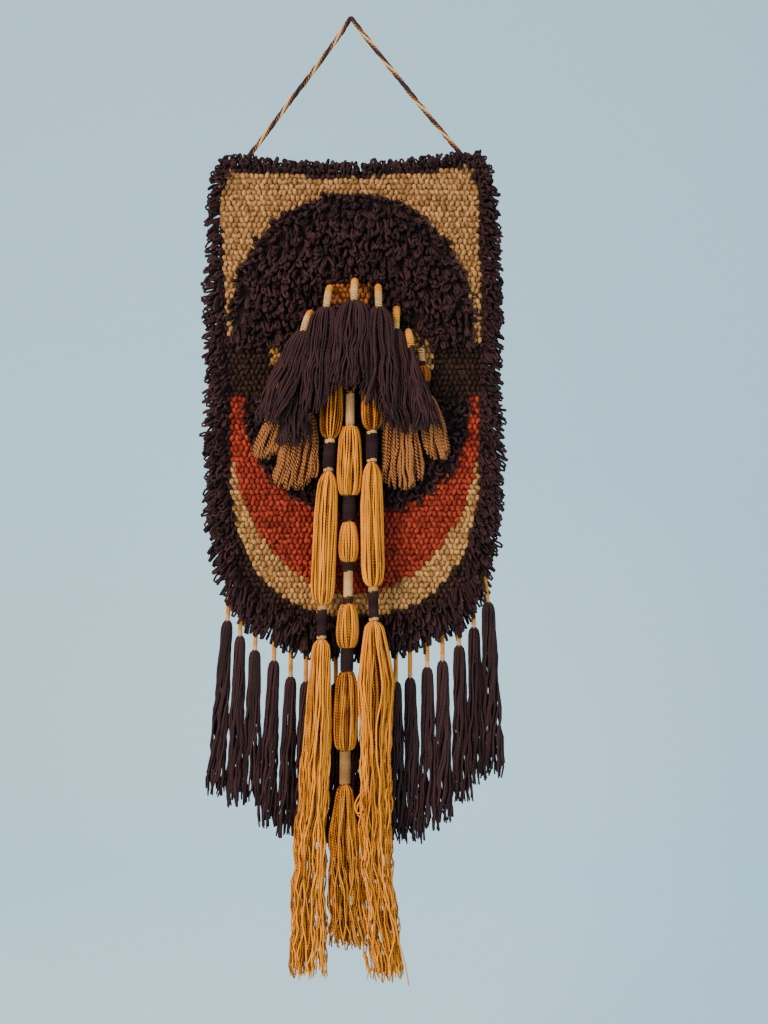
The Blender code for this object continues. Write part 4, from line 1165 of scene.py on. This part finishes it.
def make_loose_end(side, hank):
    """More strands in the tassel at a hank's end, which sway and cross."""
    rng = np.random.default_rng(hank["seed"] + 10)
    rows = [(drop, x, hank_depth(drop), half, half * LOOSE_DEPTH) for x, drop, half in hank["tassel"]]
    drop, x, depth, half, _ = rows[0]
    rows[:1] = [(drop - 2.0, x, depth, 2.2, 2.2), (drop + 7.0, x, depth, 0.8 * half, 0.7 * half)]
    lines = fan(rows, LOOSE_STRANDS, GOLD_STRAND, rng, sway=1.9, ragged=0.06, step=7.0, flare=2.0)
    tint = hank_tint(side, lines[..., 2], rng, LOOSE_STRANDS)
    yarn(f"hank_{side}_end", lines, GOLD_STRAND, [GOLD], tint=tint)


STRAYS = [
    [(30, 38, 893), (38, 42, 915), (46, 41, 934), (49, 38, 950), (56, 36, 975), (60, 34, 999)],
    [(14, 40, 797), (8, 46, 804), (5, 48, 812), (8, 49, 819), (13, 48, 815), (11, 47, 808), (6, 46, 813)],
    [(15, 42, 801), (9, 48, 809), (7, 47, 818), (11, 46, 824), (15, 44, 820), (13, 43, 834), (16, 40, 846)],
]


def make_strays():
    """A strand that hangs out of the right tassel's hem, and a snarl at its edge."""
    lines = [evenly(spline(points, 8), 44) for points in STRAYS]
    tint, facing = (0.9, 0.8, 0.6), (0.9, 0.4, 0.1)
    yarn("hank_right_strays", lines, GOLD_STRAND, [GOLD], facing=facing, tint=tint)


def make_bindings(side, hank):
    for number, (colour, top, bottom, radius) in enumerate(hank["bindings"], 1):
        drops = np.array((top + 0.15, bottom - 0.15))
        line = np.stack((hank_x(hank, (top, bottom)), hank_depth(drops), drops), axis=1)
        wools = [{"cream": CREAM, "brown": BROWN}[colour]]
        # Brown windings are set darker; the first centre winding gets painted shade, and the lowest is of a
        # darker wool.
        shade = -0.3 if colour == "brown" else SHADED_AND_DARKER_WINDINGS.get((side, number), 0.0)
        name, slot = f"winding_{side}_{number}", f"{colour}_yarn"
        piece = wound(name, line, radius, BINDING_YARN, wools, 500 + number, shade=shade)
        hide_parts(f"binding_{side}_{number}_{colour}")


for side, hank in HANKS.items():
    make_hank(side, hank)
    make_bindings(side, hank)
make_strays()

# The fork: the centre hank's two cords, of two-ply tan wool. They part above its first binding, go
# up behind the arch and enter the pile there.
FORK = [
    [(-0.4, 23.0, 393.0), (-5.0, 22.0, 386.0), (-10.5, 18.0, 379.0), (-13.0, 10.0, 374.0)],
    [(0.2, 23.4, 393.0), (4.5, 22.5, 385.0), (8.0, 18.5, 378.0), (9.5, 10.0, 373.0)],
]
fork = [evenly(spline(points, 8), 26) for points in FORK]
facing = (1.0, 0.2, 0.0)
yarn("hank_fork", fork, 2.0, [TAN], 8, facing, tint=[0.5, 0.7], lobes=0.3, turn=8.0)

# The fringe: eighteen tassels of brown wool along the round lower edge. Each hangs on a thin stem
# wound with ochre wool, with a few turns of cream above its head.
FRINGE = [
    (-125.4, -129.0, 629.3, -142.0, 810.3, 7.2),
    (-115.4, -115.6, 645.2, -122.0, 823.2, 7.0),
    (-98.5, -100.2, 660.1, -104.2, 820.2, 7.4),
    (-79.6, -80.3, 671.1, -88.3, 843.1, 7.4),
    (-62.6, -62.9, 688.0, -68.4, 853.0, 7.4),
    (-46.7, -47.0, 693.0, -51.5, 857.0, 7.4),
    (-31.2, -31.1, 693.9, -33.6, 859.0, 7.4),
    (-15.8, -15.7, 694.9, -16.7, 860.0, 7.4),
    (0.1, 0.2, 694.9, 0.2, 860.0, 7.4),
    (16.1, 16.1, 694.9, 16.6, 860.0, 7.4),
    (32.0, 32.0, 693.9, 33.0, 859.0, 7.4),
    (47.0, 46.9, 693.0, 48.9, 860.0, 7.3),
    (61.9, 61.8, 689.0, 65.8, 860.0, 7.3),
    (79.8, 79.7, 678.0, 81.7, 847.0, 7.4),
    (95.8, 95.6, 671.1, 97.6, 838.1, 7.4),
    (111.7, 113.0, 655.2, 116.5, 817.2, 7.4),
    (127.1, 128.4, 636.3, 132.4, 799.3, 7.3),
    (137.6, 143.2, 610.4, 149.6, 791.4, 8.3),
]
FRINGE_DEPTH = 7.6
FRINGE_STEM = 2.7
FRINGE_WINDING = 0.8
FRINGE_STRANDS = 29
FRINGE_STRAND = BROWN_STRAND + 0.25
FRINGE_FLAT = 0.8
FRINGE_SEAT = 3.5
CREAM_BAND = 9.0
FRINGE_SHAPE = [
    (-0.01, 0.35), (0.0, 0.55), (0.015, 0.76), (0.045, 0.85), (0.14, 0.88), (0.45, 1.05),
    (0.75, 1.25), (1.0, 1.4),
]


def make_fringe():
    for number, (x, head_x, head_drop, hem_x, hem_drop, half) in enumerate(FRINGE, 1):
        rng = np.random.default_rng(600 + number)
        top = (x, FRINGE_SEAT, bottom_edge(x) + 0.8)
        line = np.array((top, (head_x, FRINGE_DEPTH, head_drop + 1.0)))
        change = 1 - CREAM_BAND / length_of(line)
        name, wools = f"fringe_stem_{number:02d}", [OCHRE, CREAM]
        wound(name, line, FRINGE_STEM, FRINGE_WINDING, wools, 700 + number, change)
        head = np.array((head_x, FRINGE_DEPTH, head_drop))
        hem = np.array((hem_x, FRINGE_DEPTH, hem_drop))
        rows = rows_along(head, hem, FRINGE_SHAPE, half, FRINGE_FLAT)
        twist = rng.uniform(1.0, 3.6)
        lines = fan(rows, FRINGE_STRANDS, BROWN_STRAND, rng, 1.25, 0.12, 8.5, twist, locks=8, flare=1.4)
        tint = rng.uniform(0.0, 0.8, FRINGE_STRANDS)
        name = f"fringe_{number:02d}_strands"
        tassel = yarn(name, lines, FRINGE_STRAND, [BROWN], tint=tint)
        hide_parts(f"fringe_tassel_{number:02d}")


make_fringe()
